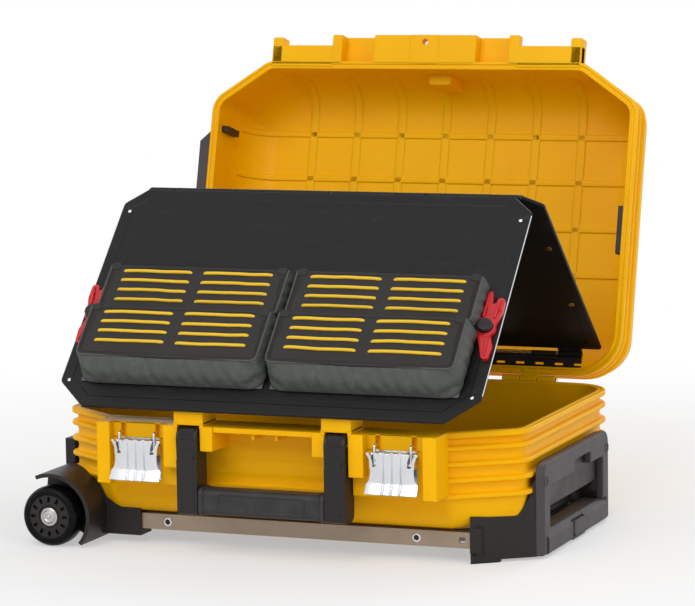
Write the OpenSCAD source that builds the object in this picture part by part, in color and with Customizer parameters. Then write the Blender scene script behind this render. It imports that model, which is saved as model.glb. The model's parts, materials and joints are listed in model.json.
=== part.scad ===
/* [Case shell] */
// Overall width across the ribs
case_w = 500; // [460:5:560]
// Overall depth across the ribs
case_d = 342; // [320:2:380]
// Height of the base rim above the floor
rim_z = 133; // [125:1:150]
// Height of the underside of the tub above the floor
tub_z = 32; // [31:1:38]
// Depth of the lid
lid_h = 95; // [85:1:110]
// Thickness of the moulded walls
wall = 3.5; // [2.5:0.5:4.5]
// Distance that the ribs stand out
rib_out = 5.5; // [4:0.5:7]
// Thickness of one rib
rib_t = 5; // [3:0.5:7]
// Distance from one rib to the next
rib_pitch = 16; // [14:1:18]
// Width of the cut corners at the front, along the case
corner_w = 65; // [50:1:80]
// Depth of the cut corners at the front
corner_d = 45; // [35:1:60]
// Radius of the rear corners
rear_r = 48; // [30:1:60]
// Distance that the front flange stands out beyond the ribs
flange_out = 34; // [32:1:40]

/* [Lid hinge] */
// Angle that the lid stands open
lid_open = 105; // [95:1:110]
// Radius of the hinge barrels
barrel_r = 5; // [4:0.5:6]
// Radius of the hinge pins
pin_r = 2; // [1.5:0.25:2.5]
// Distance of the hinges from the middle
hinge_x = 150; // [110:5:170]

/* [Tool panels] */
// Width of a tool panel
panel_w = 450; // [400:5:460]
// Length of a tool panel from its fold to its free edge
panel_len = 282; // [270:1:290]
// Thickness of a panel board
board_t = 4; // [3:0.5:5]
// Slope of the front panel
front_slope = 46; // [44:1:48]
// Slope of the rear panel
rear_slope = 42; // [40:1:44]
// Depth of the lower pockets
pocket_h = 30; // [24:1:32]
// Depth of the upper pockets
upper_h = 20; // [14:1:22]
// Thickness of the pocket cloth
cloth_t = 2.5; // [2:0.5:3]
// Room beside the pockets for a locking clip
clip_room = 22; // [20:1:28]
// Height of a pocket's ribbed plate
plate_h = 62; // [55:1:66]
// Diameter of the elastic cords
elastic_d = 4; // [3:0.5:5]

/* [Carry handle and latches] */
// Distance across the arms of the carry handle
handle_w = 180; // [170:1:190]
// Width of one arm
arm_w = 22; // [18:1:24]
// Depth of one arm
arm_d = 25; // [20:1:26]
// Height of the underside of the carry handle above the floor
handle_z = 44; // [40:1:50]
// Thickness of the hand grip from top to bottom
grip_h = 28; // [24:1:32]
// Distance of a latch from the middle
latch_x = 137; // [135:1:140]
// Width of a latch lever at its flared end
lever_w = 54; // [48:1:56]
// Length of a latch lever
lever_len = 40; // [34:1:42]
// Thickness of the latch steel
steel_t = 1.5; // [1:0.25:2]
// Diameter of the latch wires
wire_d = 3; // [2.5:0.25:3.5]

/* [Wheels] */
// Radius of a wheel
wheel_r = 31; // [28:0.5:32]
// Width of a wheel
wheel_w = 26; // [22:1:28]
// Distance across the outer faces of the wheels
track = 400; // [390:2:410]
// Distance of the wheel axle in from the end of the case
wheel_in = 10.5; // [8:0.5:14]
// Radius of the axle
axle_r = 5; // [4:0.5:6]

/* [Trolley handle] */
// Distance that the trolley handle pulls out
trolley_travel = 460; // [400:10:500]
// Distance of a trolley tube from the middle
tube_y = 70; // [60:1:80]
// Outer radius of the fixed sleeves
sleeve_r = 9; // [8.5:0.25:9.5]
// Wall of the trolley tubes
tube_wall = 1.4; // [1:0.1:1.5]
// Height of the trolley grip
grip_bar_h = 23; // [21:0.5:25]
// Distance across the trolley grip
grip_bar_w = 196; // [186:2:204]
// Thickness of the end housing's outer plate
plate_t = 10; // [9:0.5:12]
// Height of the end housing
housing_z = 95; // [90:1:100]
// Height of the aluminium rails
rail_h = 16; // [14:1:17]

/* [Hidden] */
$fn = 48;

case_yellow = [0.96, 0.70, 0.05];
frame_black = [0.13, 0.12, 0.12];
housing_grey = [0.27, 0.26, 0.27];
cloth_grey = [0.25, 0.28, 0.27];
elastic_yellow = [0.85, 0.68, 0.10];
clip_red = [0.78, 0.08, 0.10];
steel = [0.78, 0.79, 0.80];
aluminium = [0.66, 0.62, 0.57];

// Clearances
slide_gap = 0.1;    // a tube or shaft in its bore
part_gap = 0.4;     // between two bodies that pass one another
seat_gap = 0.3;     // between a part and the moulding that it is fitted to
swing_gap = 1;      // beside a part that swings

// Case frame: the origin is on the floor, midway between the outermost rest positions
half_w = case_w / 2;
half_d = case_d / 2;
wheel_z = wheel_r;
wheel_x = half_w - wheel_in;
lip_t = 6;
corner_r = 26;
min_r = 3;
shoulder_z = rim_z - 4.2 * rib_pitch;
base_ribs = 4;
lid_ribs = 2;
cut_angle = atan2(corner_d, corner_w);
knee_in = 9;        // how far the tub has drawn in at its knee
knee_z = tub_z + 14;
sole_in = 24;       // how far the tub has drawn in at its underside
hinge_y = half_d + barrel_r + swing_gap;
lid_gap = 0.3;      // between the two rims when the lid is shut
dome_z = lid_h - 50;
dome_knee = lid_h - 20;
dome_in = 34;
bumper_t = 13;
flange_t = 12;

// Front of the case
front_y = -half_d;
ledge_y = front_y - flange_out;
wall_y = front_y + rib_out;
block_top = rim_z + 15;
arm_out = handle_w / 2;
arm_in = arm_out - arm_w;
wing_w = 17;
pilaster_x = latch_x + lever_w / 2 + 3;
pilaster_w = 15;
pilaster_z = rim_z - 63;
head_r = arm_d / 2;
handle_front = ledge_y - 6;
handle_y = handle_front + head_r;
pivot_z = rim_z - head_r - swing_gap / 2;
handle_pin_r = 3.5;
latch_face = front_y - 21;
lever_top_z = rim_z - 20;
lever_pivot_r = 2.5;
lever_pivot_y = latch_face - steel_t - lever_pivot_r - 1.5;
bail_drop = 8;
bail_y = lever_pivot_y - 4.6;
lever_face_y = bail_y - 3;
lever_t = 2.1;
lever_flare = 6;
hook_rise = 14;
hook_half = 19;
notch_half = wire_d / 2 + 1;

// Underside
rail_y = half_d - 21;
rail_t = 2.5;
rail_z = tub_z - rail_h - 1;
rail_depth = 12;
rail_left = -half_w + 50;
rail_right = half_w - 45;
rail_screw_x = [-129, 141];
tube_z = rail_z - 1;
mid_r = sleeve_r - tube_wall - slide_gap;
tube_r = mid_r - tube_wall - slide_gap;
housing_x = half_w + plate_t;
grip_x = half_w - 14;
grip_z = 2.5;
grip_out = housing_x + 2;
button_w = 38;
button_h = 15;
button_proud = 1;
sleeve_start = -half_w + 60;
sleeve_end = grip_x - 6;
tread_t = 8;
hub_r = wheel_r - tread_t;
fender_r = wheel_r + 13;
fender_t = 4;
tip_low = -40;      // angles of the arch's two ends
tip_high = 112;
arch_y = track / 2 - 5;
arch_in = half_d - 65;
frame_x = -half_w - 12;
housing_front = half_d - 19;
housing_in = half_w - 52;

// Tool panels: the rear panel's hinge is s and t from the lid's hinge, in the lid
strip_s = 31;
strip_t = 14;
hinge_wall_s = hinge_y - half_d + rib_out + wall;    // inner face of the lid's rear wall
fold_r = 3;
board_in = 3.5;     // from a fold's axis to the board
rear_y = hinge_y + strip_t * sin(lid_open) - strip_s * cos(lid_open);
rear_z = rim_z + strip_s * sin(lid_open) + strip_t * cos(lid_open);
apex_y = rear_y - panel_len * cos(rear_slope);
apex_z = rear_z + panel_len * sin(rear_slope);
back_wall_in = 10;  // from a wheel's inner face to the wall behind it
opening_in = 10;    // from an end of the trolley grip to the housing's opening
post_out = 9;       // from an end of the trolley grip to the housing's side
panel_corner = 32;
pocket_gap = 6;
pocket_w = (panel_w - pocket_gap) / 2 - clip_room;
pocket_x = (pocket_w + pocket_gap) / 2;
fold_x = panel_w / 7.5;        // the first knuckle of a fold
fold_step = panel_w / 4.5;     // from one knuckle to the next but one
pocket_low = 40;    // from the free edge to a lower pocket
upper_low = pocket_low + plate_h + 2;
plate_t2 = 2.5;     // thickness of a ribbed plate
elastic_rows = 4;
row_pitch = 12;     // from one row of cords to the next
plate_in = 2;       // from a pocket's edge to its plate
upper_high = plate_h - 5;
pocket_foot = 13;
rear_low = 70;      // from the rear hinge to a rear pocket
rear_foot = 6;
clip_u = 110;
clip_in = 13;       // from a board's side to its clips and rivets
clip_x = panel_w / 2 - clip_in;
clip_travel = 3.5;
knob_r = 3.5;
rivet_r = 3;
notch_w = arm_w + 16;

// The middle of the whole object at rest lies over the origin
left_end = -wheel_x - wheel_r;
front_end = lever_face_y - lever_t - lever_flare;
lid_back = hinge_y - (hinge_y + half_d - dome_in) * cos(lid_open) + lid_h * sin(lid_open);
middle_x = (left_end + grip_out + button_proud) / 2;
middle_y = (front_end + lid_back) / 2;

module placed() {
    translate([-middle_x, -middle_y, 0]) children();
}

// ---------- shared shapes ----------

function turned(v, a) = [v.x * cos(a) - v.y * sin(a), v.x * sin(a) + v.y * cos(a)];

// Points that round the corner at b of the path a, b, c
function round_corner(a, b, c, r, steps = 8) =
    let (u = (a - b) / norm(a - b))
    let (w = (c - b) / norm(c - b))
    let (half = acos(u * w) / 2)
    let (centre = b + (u + w) / norm(u + w) * r / sin(half))
    let (start = b + u * r / tan(half) - centre)
    let (sweep = sign(cross(b - a, c - b)) * (180 - 2 * half))
    [for (i = [0:steps]) centre + turned(start, sweep * i / steps)];

// A polygon's points with each corner [x, y, r] rounded
function rounded(corners) =
    let (n = len(corners))
    let (at = [for (c = corners) [c.x, c.y]])
    [for (i = [0:n - 1]) each round_corner(
        at[(i + n - 1) % n], at[i], at[(i + 1) % n], corners[i].z)];

// The case's outline, drawn in by inset on every side
function case_outline(inset) =
    let (x1 = half_w - inset)
    let (x2 = half_w - corner_w - inset * tan(cut_angle / 2))
    let (y1 = -half_d + inset)
    let (y2 = -half_d + corner_d + inset * tan((90 - cut_angle) / 2))
    let (y3 = half_d - inset)
    let (rf = max(corner_r - inset, min_r))
    let (rb = max(rear_r - inset, min_r))
    rounded([
        [-x1, y3, rb], [-x1, y2, rf], [-x2, y1, rf],
        [x2, y1, rf], [x1, y2, rf], [x1, y3, rb]
    ]);

module slab(inset, z0, z1) {
    translate([0, 0, z0]) linear_extrude(z1 - z0) polygon(case_outline(inset));
}

// A tapering band between two outlines
module taper(inset0, z0, inset1, z1) {
    thin = 0.01;
    hull() {
        slab(inset0, z0, z0 + thin);
        slab(inset1, z1 - thin, z1);
    }
}

// A box from its least corner to its greatest
module box(a, b) {
    translate(a) cube(b - a);
}

module mirrored(on = true) {
    children();
    if (on) mirror([1, 0, 0]) children();
}

module rod_x(x0, x1, r) {
    translate([x0, 0, 0]) rotate([0, 90, 0]) cylinder(h = x1 - x0, r = r);
}

module rod_y(y0, y1, r) {
    translate([0, y0, 0]) rotate([-90, 0, 0]) cylinder(h = y1 - y0, r = r);
}

// A profile in Y and Z, extruded along X
module extrude_x(x0, x1) {
    translate([x0, 0, 0]) rotate([90, 0, 90]) linear_extrude(x1 - x0) children();
}

// The outer surface of the tub, grown by gap, for parts fitted to it
module tub_envelope(gap) {
    slab(-gap, shoulder_z - gap, rim_z + 40);
    taper(knee_in - gap, knee_z, rib_out / 2 - gap, shoulder_z);
    taper(sole_in - gap, tub_z - gap, knee_in - gap, knee_z);
}

// ---------- base ----------

module front_features() {
    // wall behind the handle and between the latches
    box([-pilaster_x, wall_y, pilaster_z - 4], [pilaster_x, wall_y + wall, rim_z]);
    // ledge under the lid's flange
    box([-arm_out - wing_w - 2, ledge_y + 3, rim_z - 6], [arm_out + wing_w + 2, wall_y + 1, rim_z]);
    mirrored() {
        // pilaster outside the latch
        box([pilaster_x, ledge_y + 3, pilaster_z], [pilaster_x + pilaster_w, wall_y + 1, rim_z]);
        // wall that the latch is fastened to
        box([arm_out + swing_gap, latch_face, pilaster_z], [pilaster_x + 1, wall_y + 1, rim_z]);
        // outer and inner wings beside the arm
        box([arm_out + swing_gap, ledge_y, rim_z - 43],
            [arm_out + wing_w, wall_y + 1, rim_z]);
        box([arm_in - wing_w + 2, ledge_y, rim_z - 25], [arm_in - swing_gap, wall_y + 1, rim_z]);
        // block over the arm
        box([arm_in - 5, ledge_y, rim_z - 1], [arm_out + 5, front_y + 2, block_top]);
        // small ribs under the ledge
        box([10, ledge_y + 8, rim_z - 15], [13, wall_y + 1, rim_z - 5]);
    }
}

module latch_slots() {
    mirrored()
        for (side = [-1, 1])
            translate([latch_x + side * hook_half, 0, 0])
                box([-2.5, latch_face - 1, rim_z - 15], [2.5, latch_face + 6, rim_z - 2]);
}

module base_shell() {
    leaf_w = 20;
    color(case_yellow) difference() {
        union() {
            slab(0, rim_z - lip_t, rim_z);
            difference() {
                for (i = [1:base_ribs])
                    slab(0, rim_z - i * rib_pitch - rib_t / 2, rim_z - i * rib_pitch + rib_t / 2);
                // the upper ribs stop at the pilasters
                box([-pilaster_x, front_y - 1, pilaster_z + 2], [pilaster_x, wall_y, rim_z]);
            }
            slab(rib_out, shoulder_z, rim_z);
            taper(knee_in, knee_z, rib_out / 2, shoulder_z + 1);
            taper(sole_in, tub_z, knee_in, knee_z + 0.01);
            front_features();
            for (side = [-1, 1], end = [-1, 1])
                translate([side * hinge_x + end * leaf_w, hinge_y, rim_z])
                    base_leaf(leaf_w / 2 - 0.5);
        }
        difference() {
            slab(rib_out + wall, shoulder_z, rim_z + 1);
            box([-half_w, wall_y - 20, 0], [half_w, wall_y + wall, rim_z + 2]);
        }
        taper(knee_in + wall, knee_z, rib_out + wall, shoulder_z + 0.01);
        taper(sole_in + wall, tub_z + wall, knee_in + wall, knee_z + 0.01);
        // room for the heads of the handle's arms
        mirrored()
            box([arm_in - swing_gap, ledge_y - 1, rim_z - 10],
                [arm_out + swing_gap, handle_front + arm_d + swing_gap, rim_z + swing_gap / 2]);
        latch_slots();
        for (side = [-1, 1])
            translate([side * hinge_x, hinge_y, rim_z])
                rod_x(-leaf_w * 2, leaf_w * 2, pin_r + slide_gap);
        handle_bore(handle_pin_r);
    }
}

module base_leaf(half) {
    rod_x(-half, half, barrel_r);
    box([-half, -barrel_r - swing_gap - rib_out - 1, -2.4 * barrel_r], [half, 0, 0]);
    box([-half, -barrel_r, -2.4 * barrel_r], [half, barrel_r * 0.6, -barrel_r * 0.8]);
}

module handle_bore(r) {
    mirrored()
        translate([0, handle_y, pivot_z]) rod_x(arm_in - wing_w + 5, arm_out + wing_w - 3, r);
}

module floor_liner() {
    liner_t = 9;
    color([0.10, 0.09, 0.08]) difference() {
        slab(sole_in + wall + 4, tub_z + wall, tub_z + wall + liner_t);
        for (x = [-3:3], y = [-1:1])
            translate([x * 52, y * 66, tub_z + wall + liner_t - 3]) cylinder(h = 4, r = 16);
    }
}

module rail() {
    color(aluminium) difference() {
        box([rail_left, -rail_y, rail_z], [rail_right, -rail_y + rail_depth, rail_z + rail_h]);
        box([rail_left - 1, -rail_y + rail_t, rail_z + rail_t],
            [rail_right + 1, -rail_y + rail_depth + 1, rail_z + rail_h - rail_t]);
        for (x = rail_screw_x)
            translate([x, 0, rail_z + rail_h / 2]) rod_y(-rail_y - 1, -rail_y + rail_t + 1, 2.5);
        box([rail_right - 19, -rail_y - 1, rail_z + 5], [rail_right - 13, -rail_y + rail_t + 1, rail_z + 11]);
    }
}

module rail_front() rail();

module rail_back() mirror([0, 1, 0]) rail();

module rail_screws() {
    color(steel)
        for (side = [0, 1], x = rail_screw_x)
            mirror([0, side, 0]) translate([x, 0, rail_z + rail_h / 2]) {
                rod_y(-rail_y - 1.2, -rail_y, 4);
                rod_y(-rail_y - 0.1, -rail_y + rail_depth, 2.5);
            }
}

// Points from the arch's lower tip, over the wheel, to its upper tip
function arc_points(r, steps) =
    [for (i = [0:steps]) let (a = tip_low + (tip_high - tip_low) * i / steps) r * [cos(a), sin(a)]];

// Extrudes a shape, drawn about a wheel's axis, between two distances from the middle
module in_arch(y0, y1) {
    translate([-wheel_x, 0, wheel_z]) rotate([90, 0, 0])
        translate([0, 0, y0]) linear_extrude(y1 - y0) children();
}

// Arch over one wheel
module arch() {
    inside = arc_points(fender_r - fender_t, 20);
    in_arch(arch_in, arch_y)
        polygon(concat(arc_points(fender_r, 20), [for (i = [len(inside) - 1:-1:0]) inside[i]]));
}

module wheel_frame() {
    back_wall = track / 2 - wheel_w - back_wall_in;
    color(frame_black) difference() {
        union() {
            for (side = [0, 1]) mirror([0, side, 0]) {
                arch();
                // wall between the wheel and the case, filling the arch
                in_arch(back_wall - 5, back_wall) polygon(concat([[-22, 0]], arc_points(fender_r, 20)));
                // skirt that carries the end of the rail
                box([-wheel_x + 20, -rail_y - 3, 8], [rail_left + 42, -rail_y + 22, rail_z + rail_h + 30]);
            }
            // end wall and floor plate
            box([frame_x, -112, 14], [-half_w - 1, 112, rim_z - 36]);
            box([frame_x, -rail_y + 5, 8], [rail_left + 20, rail_y - 5, tub_z + 2]);
            translate([-wheel_x, 0, wheel_z]) rod_y(-back_wall, back_wall, axle_r + 8);
        }
        tub_envelope(seat_gap);
        rails_space();
        sleeves_space();
        translate([-wheel_x, 0, wheel_z]) rod_y(-track, track, axle_r);
    }
}

// Room for the rails, for the parts that hold their ends
module rails_space() {
    for (side = [0, 1])
        mirror([0, side, 0])
            box([rail_left - seat_gap, -rail_y - seat_gap, rail_z - seat_gap],
                [rail_right + seat_gap, -rail_y + rail_depth + seat_gap, rail_z + rail_h + seat_gap]);
}

module sleeves_space() {
    for (side = [-1, 1])
        translate([0, side * tube_y, tube_z])
            rod_x(sleeve_start - seat_gap, grip_x, sleeve_r + slide_gap);
}

module axle() {
    color(steel) translate([-wheel_x, 0, wheel_z]) {
        rod_y(-track / 2 + 2, track / 2 - 2, axle_r);
    }
}

module end_housing() {
    opening_y = grip_bar_w / 2 - opening_in;
    plate_half = grip_bar_w / 2 + post_out;
    color(housing_grey) difference() {
        linear_extrude(housing_z) polygon([
            [housing_in, -housing_front], [housing_x - plate_t, -half_d + corner_d + 12],
            [housing_x, -plate_half], [housing_x, plate_half],
            [housing_x - plate_t, half_d - corner_d - 12], [housing_in, housing_front]
        ]);
        tub_envelope(seat_gap);
        rails_space();
        // sloping ends of the outer plate's top
        for (side = [0, 1])
            mirror([0, side, 0]) translate([0, -plate_half, housing_z - 12]) rotate([45, 0, 0])
                box([0, -40, 0], [housing_x + 1, 40, 40]);
        // hand opening
        box([half_w + 2.5, -opening_y, grip_z + grip_bar_h], [housing_x + 1, opening_y, housing_z - 25]);
        box([grip_x - 8, -opening_y, grip_z + grip_bar_h - 4], [housing_x + 1, opening_y, knee_z]);
        // room for the trolley grip
        box([grip_x - part_gap, -grip_bar_w / 2 - part_gap, -1],
            [housing_x + 5, grip_bar_w / 2 + part_gap, grip_z + grip_bar_h + part_gap]);
        // hollow under the tub
        box([housing_in + 24, -rail_y + 34, -1], [grip_x - 12, rail_y - 34, tub_z]);
        // underside stepped up behind the feet
        box([housing_in - 1, -rail_y + 22, -1], [grip_x - 14, rail_y - 22, 6]);
        box([grip_x - 14, -half_d, -1], [housing_x + 1, half_d, 3]);
        // recess over the hand opening
        box([half_w + 2.5, -8, housing_z - 26], [housing_x + 1, 46, housing_z - 13]);
        sleeves_space();
        for (side = [-1, 1])
            translate([0, side * (grip_bar_w / 2 + 3), housing_z - 18]) {
                rod_x(housing_x - 4, housing_x + 1, 5);
                rod_x(half_w, housing_x, 2.5);
            }
    }
}

module housing_screws() {
    color(steel)
        for (side = [-1, 1])
            translate([0, side * (grip_bar_w / 2 + 3), housing_z - 18]) {
                rod_x(housing_x - 4, housing_x - 2, 4.2);
                rod_x(half_w + 0.5, housing_x - 3.9, 2.5);
            }
}

module hinge_pins() {
    color(steel)
        for (side = [-1, 1])
            translate([side * hinge_x, hinge_y, rim_z]) {
                rod_x(-30, 30, pin_r);
                rod_x(30, 31.5, pin_r + 1.2);
            }
}

// ---------- latches ----------

module latch_plate() {
    ear_x = hook_half - 5;
    color(steel) difference() {
        union() {
            box([latch_x - 22, latch_face - steel_t, rim_z - 58],
                [latch_x + 22, latch_face, lever_top_z + 4]);
            for (side = [-1, 1])
                translate([latch_x + side * ear_x - steel_t / 2, 0, 0]) {
                    box([0, lever_pivot_y, lever_top_z - 5], [steel_t, latch_face, lever_top_z + 4]);
                    translate([0, lever_pivot_y, lever_top_z]) rod_x(0, steel_t, 4);
                }
        }
        translate([latch_x, lever_pivot_y, lever_top_z]) rod_x(-40, 40, lever_pivot_r);
        for (side = [-1, 1])
            translate([latch_x + side * hook_half, 0, 0])
                box([-2.5, latch_face - 2, rim_z - 15], [2.5, latch_face + 1, rim_z]);
    }
}

module latch_plate_left() mirror([1, 0, 0]) latch_plate();

module latch_plate_right() latch_plate();

module latch_pins() {
    color(steel) mirrored()
        translate([latch_x, lever_pivot_y, lever_top_z])
            rod_x(-lever_w / 2 + 4, lever_w / 2 - 4, lever_pivot_r);
}

// Lever: waisted plate with three pressed grooves and a flared lower edge
module lever() {
    top = lever_top_z + 3;
    low = top - lever_len;
    half = lever_w / 2;
    color(steel) difference() {
        union() {
            difference() {
                translate([latch_x, lever_face_y, 0]) rotate([90, 0, 0]) linear_extrude(lever_t)
                    polygon([
                        [-half + 2, top], [-half + 4.5, top - 12], [-half + 3, low + 11],
                        [-half, low + 10], [half, low + 10], [half - 3, low + 11],
                        [half - 4.5, top - 12], [half - 2, top]
                    ]);
                for (x = [-9, 0, 9])
                    translate([latch_x + x, 0, 0])
                        box([-1.2, lever_face_y - steel_t * 2, low], [1.2, lever_face_y - steel_t * 0.7, top + 1]);
            }
            // flared lower edge
            extrude_x(latch_x - half, latch_x + half) polygon([
                [lever_face_y, low + 10.1], [lever_face_y - lever_t, low + 10.1],
                [lever_face_y - lever_t - lever_flare, low], [lever_face_y - lever_flare, low]
            ]);
            // ears to the pivot
            for (side = [-1, 1])
                translate([latch_x + side * (half - 4.5) - 1, 0, 0]) {
                    box([0, lever_face_y, lever_top_z - 12], [2, lever_pivot_y, lever_top_z]);
                    translate([0, lever_pivot_y, lever_top_z]) rod_x(0, 2, lever_pivot_r + 1);
                }
        }
        translate([latch_x, lever_pivot_y, lever_top_z])
            rod_x(-half - 1, half + 1, lever_pivot_r + slide_gap);
        translate([latch_x, bail_y, lever_top_z - bail_drop])
            rod_x(-half + 1, half - 1, wire_d / 2 + slide_gap);
        // notches that the wires swing through
        for (side = [-1, 1])
            translate([latch_x + side * hook_half, 0, 0])
                box([-notch_half, lever_face_y - lever_t - 1, lever_top_z - bail_drop - notch_half],
                    [notch_half, lever_face_y + 1, top + 1]);
    }
}

module lever_left() mirror([1, 0, 0]) lever();

module lever_right() lever();

// Wire bail: a cross rod through the lever's ears and two wires up to hooked tips
module bail() {
    low = lever_top_z - bail_drop;
    tip = lever_top_z + hook_rise - 4;
    color(steel) {
        translate([latch_x, bail_y, low]) rod_x(-lever_w / 2 + 3.5, lever_w / 2 - 3.5, wire_d / 2);
        for (side = [-1, 1])
            translate([latch_x + side * hook_half, 0, 0]) {
                translate([0, bail_y, low]) cylinder(h = tip - low, r = wire_d / 2);
                translate([0, 0, tip]) rod_y(bail_y - wire_d / 2, bail_y + 6, wire_d / 2);
            }
    }
}

module bail_left() mirror([1, 0, 0]) bail();

module bail_right() bail();

// ---------- carry handle ----------

module carry_handle() {
    color(frame_black) difference() {
        union() {
            mirrored() {
                translate([0, handle_y, pivot_z]) rod_x(arm_in, arm_out, head_r);
                box([arm_in, handle_front, handle_z + 4], [arm_out, handle_front + arm_d, pivot_z]);
                box([arm_in, handle_front + 2, handle_z], [arm_out, handle_front + arm_d - 2, handle_z + 5]);
            }
            translate([0, handle_y, handle_z + grip_h / 2]) rod_x(-arm_in - 1, arm_in + 1, 9);
        }
        handle_bore(handle_pin_r + slide_gap);
    }
}

module handle_grip() {
    half_g = grip_h / 2;
    color([0.19, 0.19, 0.19]) difference() {
        translate([0, handle_y, handle_z + half_g])
            extrude_x(-arm_in + 0.5, arm_in - 0.5)
                polygon(rounded([
                    [-half_g + 2, -half_g, 6], [half_g - 2, -half_g, 6],
                    [half_g - 2, half_g, 6], [-half_g + 2, half_g, 6]
                ]));
        translate([0, handle_y, handle_z + half_g]) rod_x(-arm_in, arm_in, 9);
    }
}

module handle_pins() {
    color(steel) mirrored()
        translate([0, handle_y, pivot_z]) rod_x(arm_in - wing_w + 5, arm_out + wing_w - 3, handle_pin_r);
}

// ---------- wheels ----------

module at_wheel(side) {
    mirror([0, side, 0]) translate([-wheel_x, -track / 2, wheel_z]) children();
}

// Turned profiles: radius across, distance in from the wheel's outer face up
module turned_y(points) {
    rotate([-90, 0, 0]) rotate_extrude($fn = 72) polygon(points);
}

module tyre() {
    color([0.09, 0.09, 0.09]) turned_y([
        [hub_r, 1], [wheel_r - 4, 0], [wheel_r - 1.5, 1.5], [wheel_r, 5],
        [wheel_r, wheel_w - 5], [wheel_r - 1.5, wheel_w - 1.5], [wheel_r - 4, wheel_w], [hub_r, wheel_w - 1]
    ]);
}

module hub() {
    slots = 12;
    color([0.15, 0.15, 0.15]) difference() {
        turned_y([
            [axle_r + slide_gap, 3], [11, 3], [12, 1.5], [hub_r, 2.2],
            [hub_r, wheel_w - 2], [axle_r + slide_gap, wheel_w - 1]
        ]);
        for (i = [0:slots - 1])
            rotate([0, i * 360 / slots, 0]) box([15, -1, -1.6], [20.5, 6, 1.6]);
    }
}

module hub_cap() {
    color([0.55, 0.55, 0.56]) difference() {
        turned_y([[0, 0.2], [7.5, 0.2], [9, 1], [9, 2.9], [0, 2.9]]);
        rod_y(1.9, 4, axle_r + slide_gap);
    }
}

module tyre_front() at_wheel(0) tyre();

module tyre_back() at_wheel(1) tyre();

module hub_front() at_wheel(0) hub();

module hub_back() at_wheel(1) hub();

module hub_cap_front() at_wheel(0) hub_cap();

module hub_cap_back() at_wheel(1) hub_cap();

// ---------- trolley handle ----------

module tube_pair(x0, x1, r) {
    for (side = [-1, 1])
        translate([0, side * tube_y, tube_z]) difference() {
            rod_x(x0, x1, r);
            rod_x(x0 - 1, x1 + 1, r - tube_wall);
        }
}

module trolley_sleeves() {
    color(aluminium) tube_pair(sleeve_start, sleeve_end, sleeve_r);
}

module trolley_mid_tubes() {
    color(aluminium) tube_pair(sleeve_start + 5, sleeve_end, mid_r);
}

module trolley_tubes() {
    color(aluminium) tube_pair(sleeve_start + 10, grip_x + 12, tube_r);
}

module trolley_grip() {
    top = grip_z + grip_bar_h;
    half = grip_bar_w / 2;
    color(housing_grey) difference() {
        translate([0, half, 0]) rotate([90, 0, 0]) linear_extrude(grip_bar_w)
            polygon([
                [grip_x, grip_z], [grip_out - 3, grip_z], [grip_out, grip_z + 3],
                [grip_out, top - 6], [grip_out - 6, top], [grip_x, top]
            ]);
        for (side = [-1, 1])
            translate([0, side * tube_y, tube_z]) rod_x(grip_x - 1, grip_x + 12, tube_r);
        box([grip_out - 9, -button_w / 2 - part_gap, grip_z + 3.5 - part_gap],
            [grip_out + 1, button_w / 2 + part_gap, grip_z + 3.5 + button_h + part_gap + 8]);
    }
}

module trolley_button() {
    color([0.22, 0.22, 0.22])
        translate([0, button_w / 2, grip_z + 3.5]) rotate([90, 0, 0]) linear_extrude(button_w)
            polygon([
                [grip_out - 4.5, 0], [grip_out + button_proud, 0], [grip_out + button_proud, button_h - 4],
                [grip_out - 3, button_h], [grip_out - 4.5, button_h]
            ]);
}

// ---------- lid ----------

// Places what is drawn for the shut lid, measured from its hinge, at the open position
module in_lid() {
    translate([0, hinge_y, rim_z]) rotate([-lid_open, 0, 0]) children();
}

// The case's outline seen from the lid hinge
module lid_slab(inset, z0, z1) translate([0, -hinge_y, 0]) slab(inset, z0, z1);

module lid_taper(inset0, z0, inset1, z1) translate([0, -hinge_y, 0]) taper(inset0, z0, inset1, z1);

module lid_flange() {
    far = -hinge_y + front_y;
    out = flange_out - 4;
    mid_x = latch_x - lever_w / 2;
    end_x = pilaster_x + pilaster_w;
    box([-end_x, far - out + 12, lid_gap], [end_x, far + 8, flange_t]);
    box([-mid_x, far - out, lid_gap], [mid_x, far, flange_t]);
    mirrored() box([pilaster_x + 2, far - out + 3, lid_gap], [end_x, far, flange_t + 6]);
    // cover over the receiver blocks
    mirrored() box([arm_in - 12, far - out, flange_t - 2], [arm_out + 12, far + 2, block_top - rim_z + 5]);
}

module lid_leaf(half) {
    rod_x(-half, half, barrel_r);
    box([-half, -barrel_r - swing_gap - rib_out - 1, lid_gap], [half, 0, 2.4 * barrel_r]);
    box([-half, -barrel_r, barrel_r * 0.8], [half, barrel_r * 0.6, 2.4 * barrel_r]);
}

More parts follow.
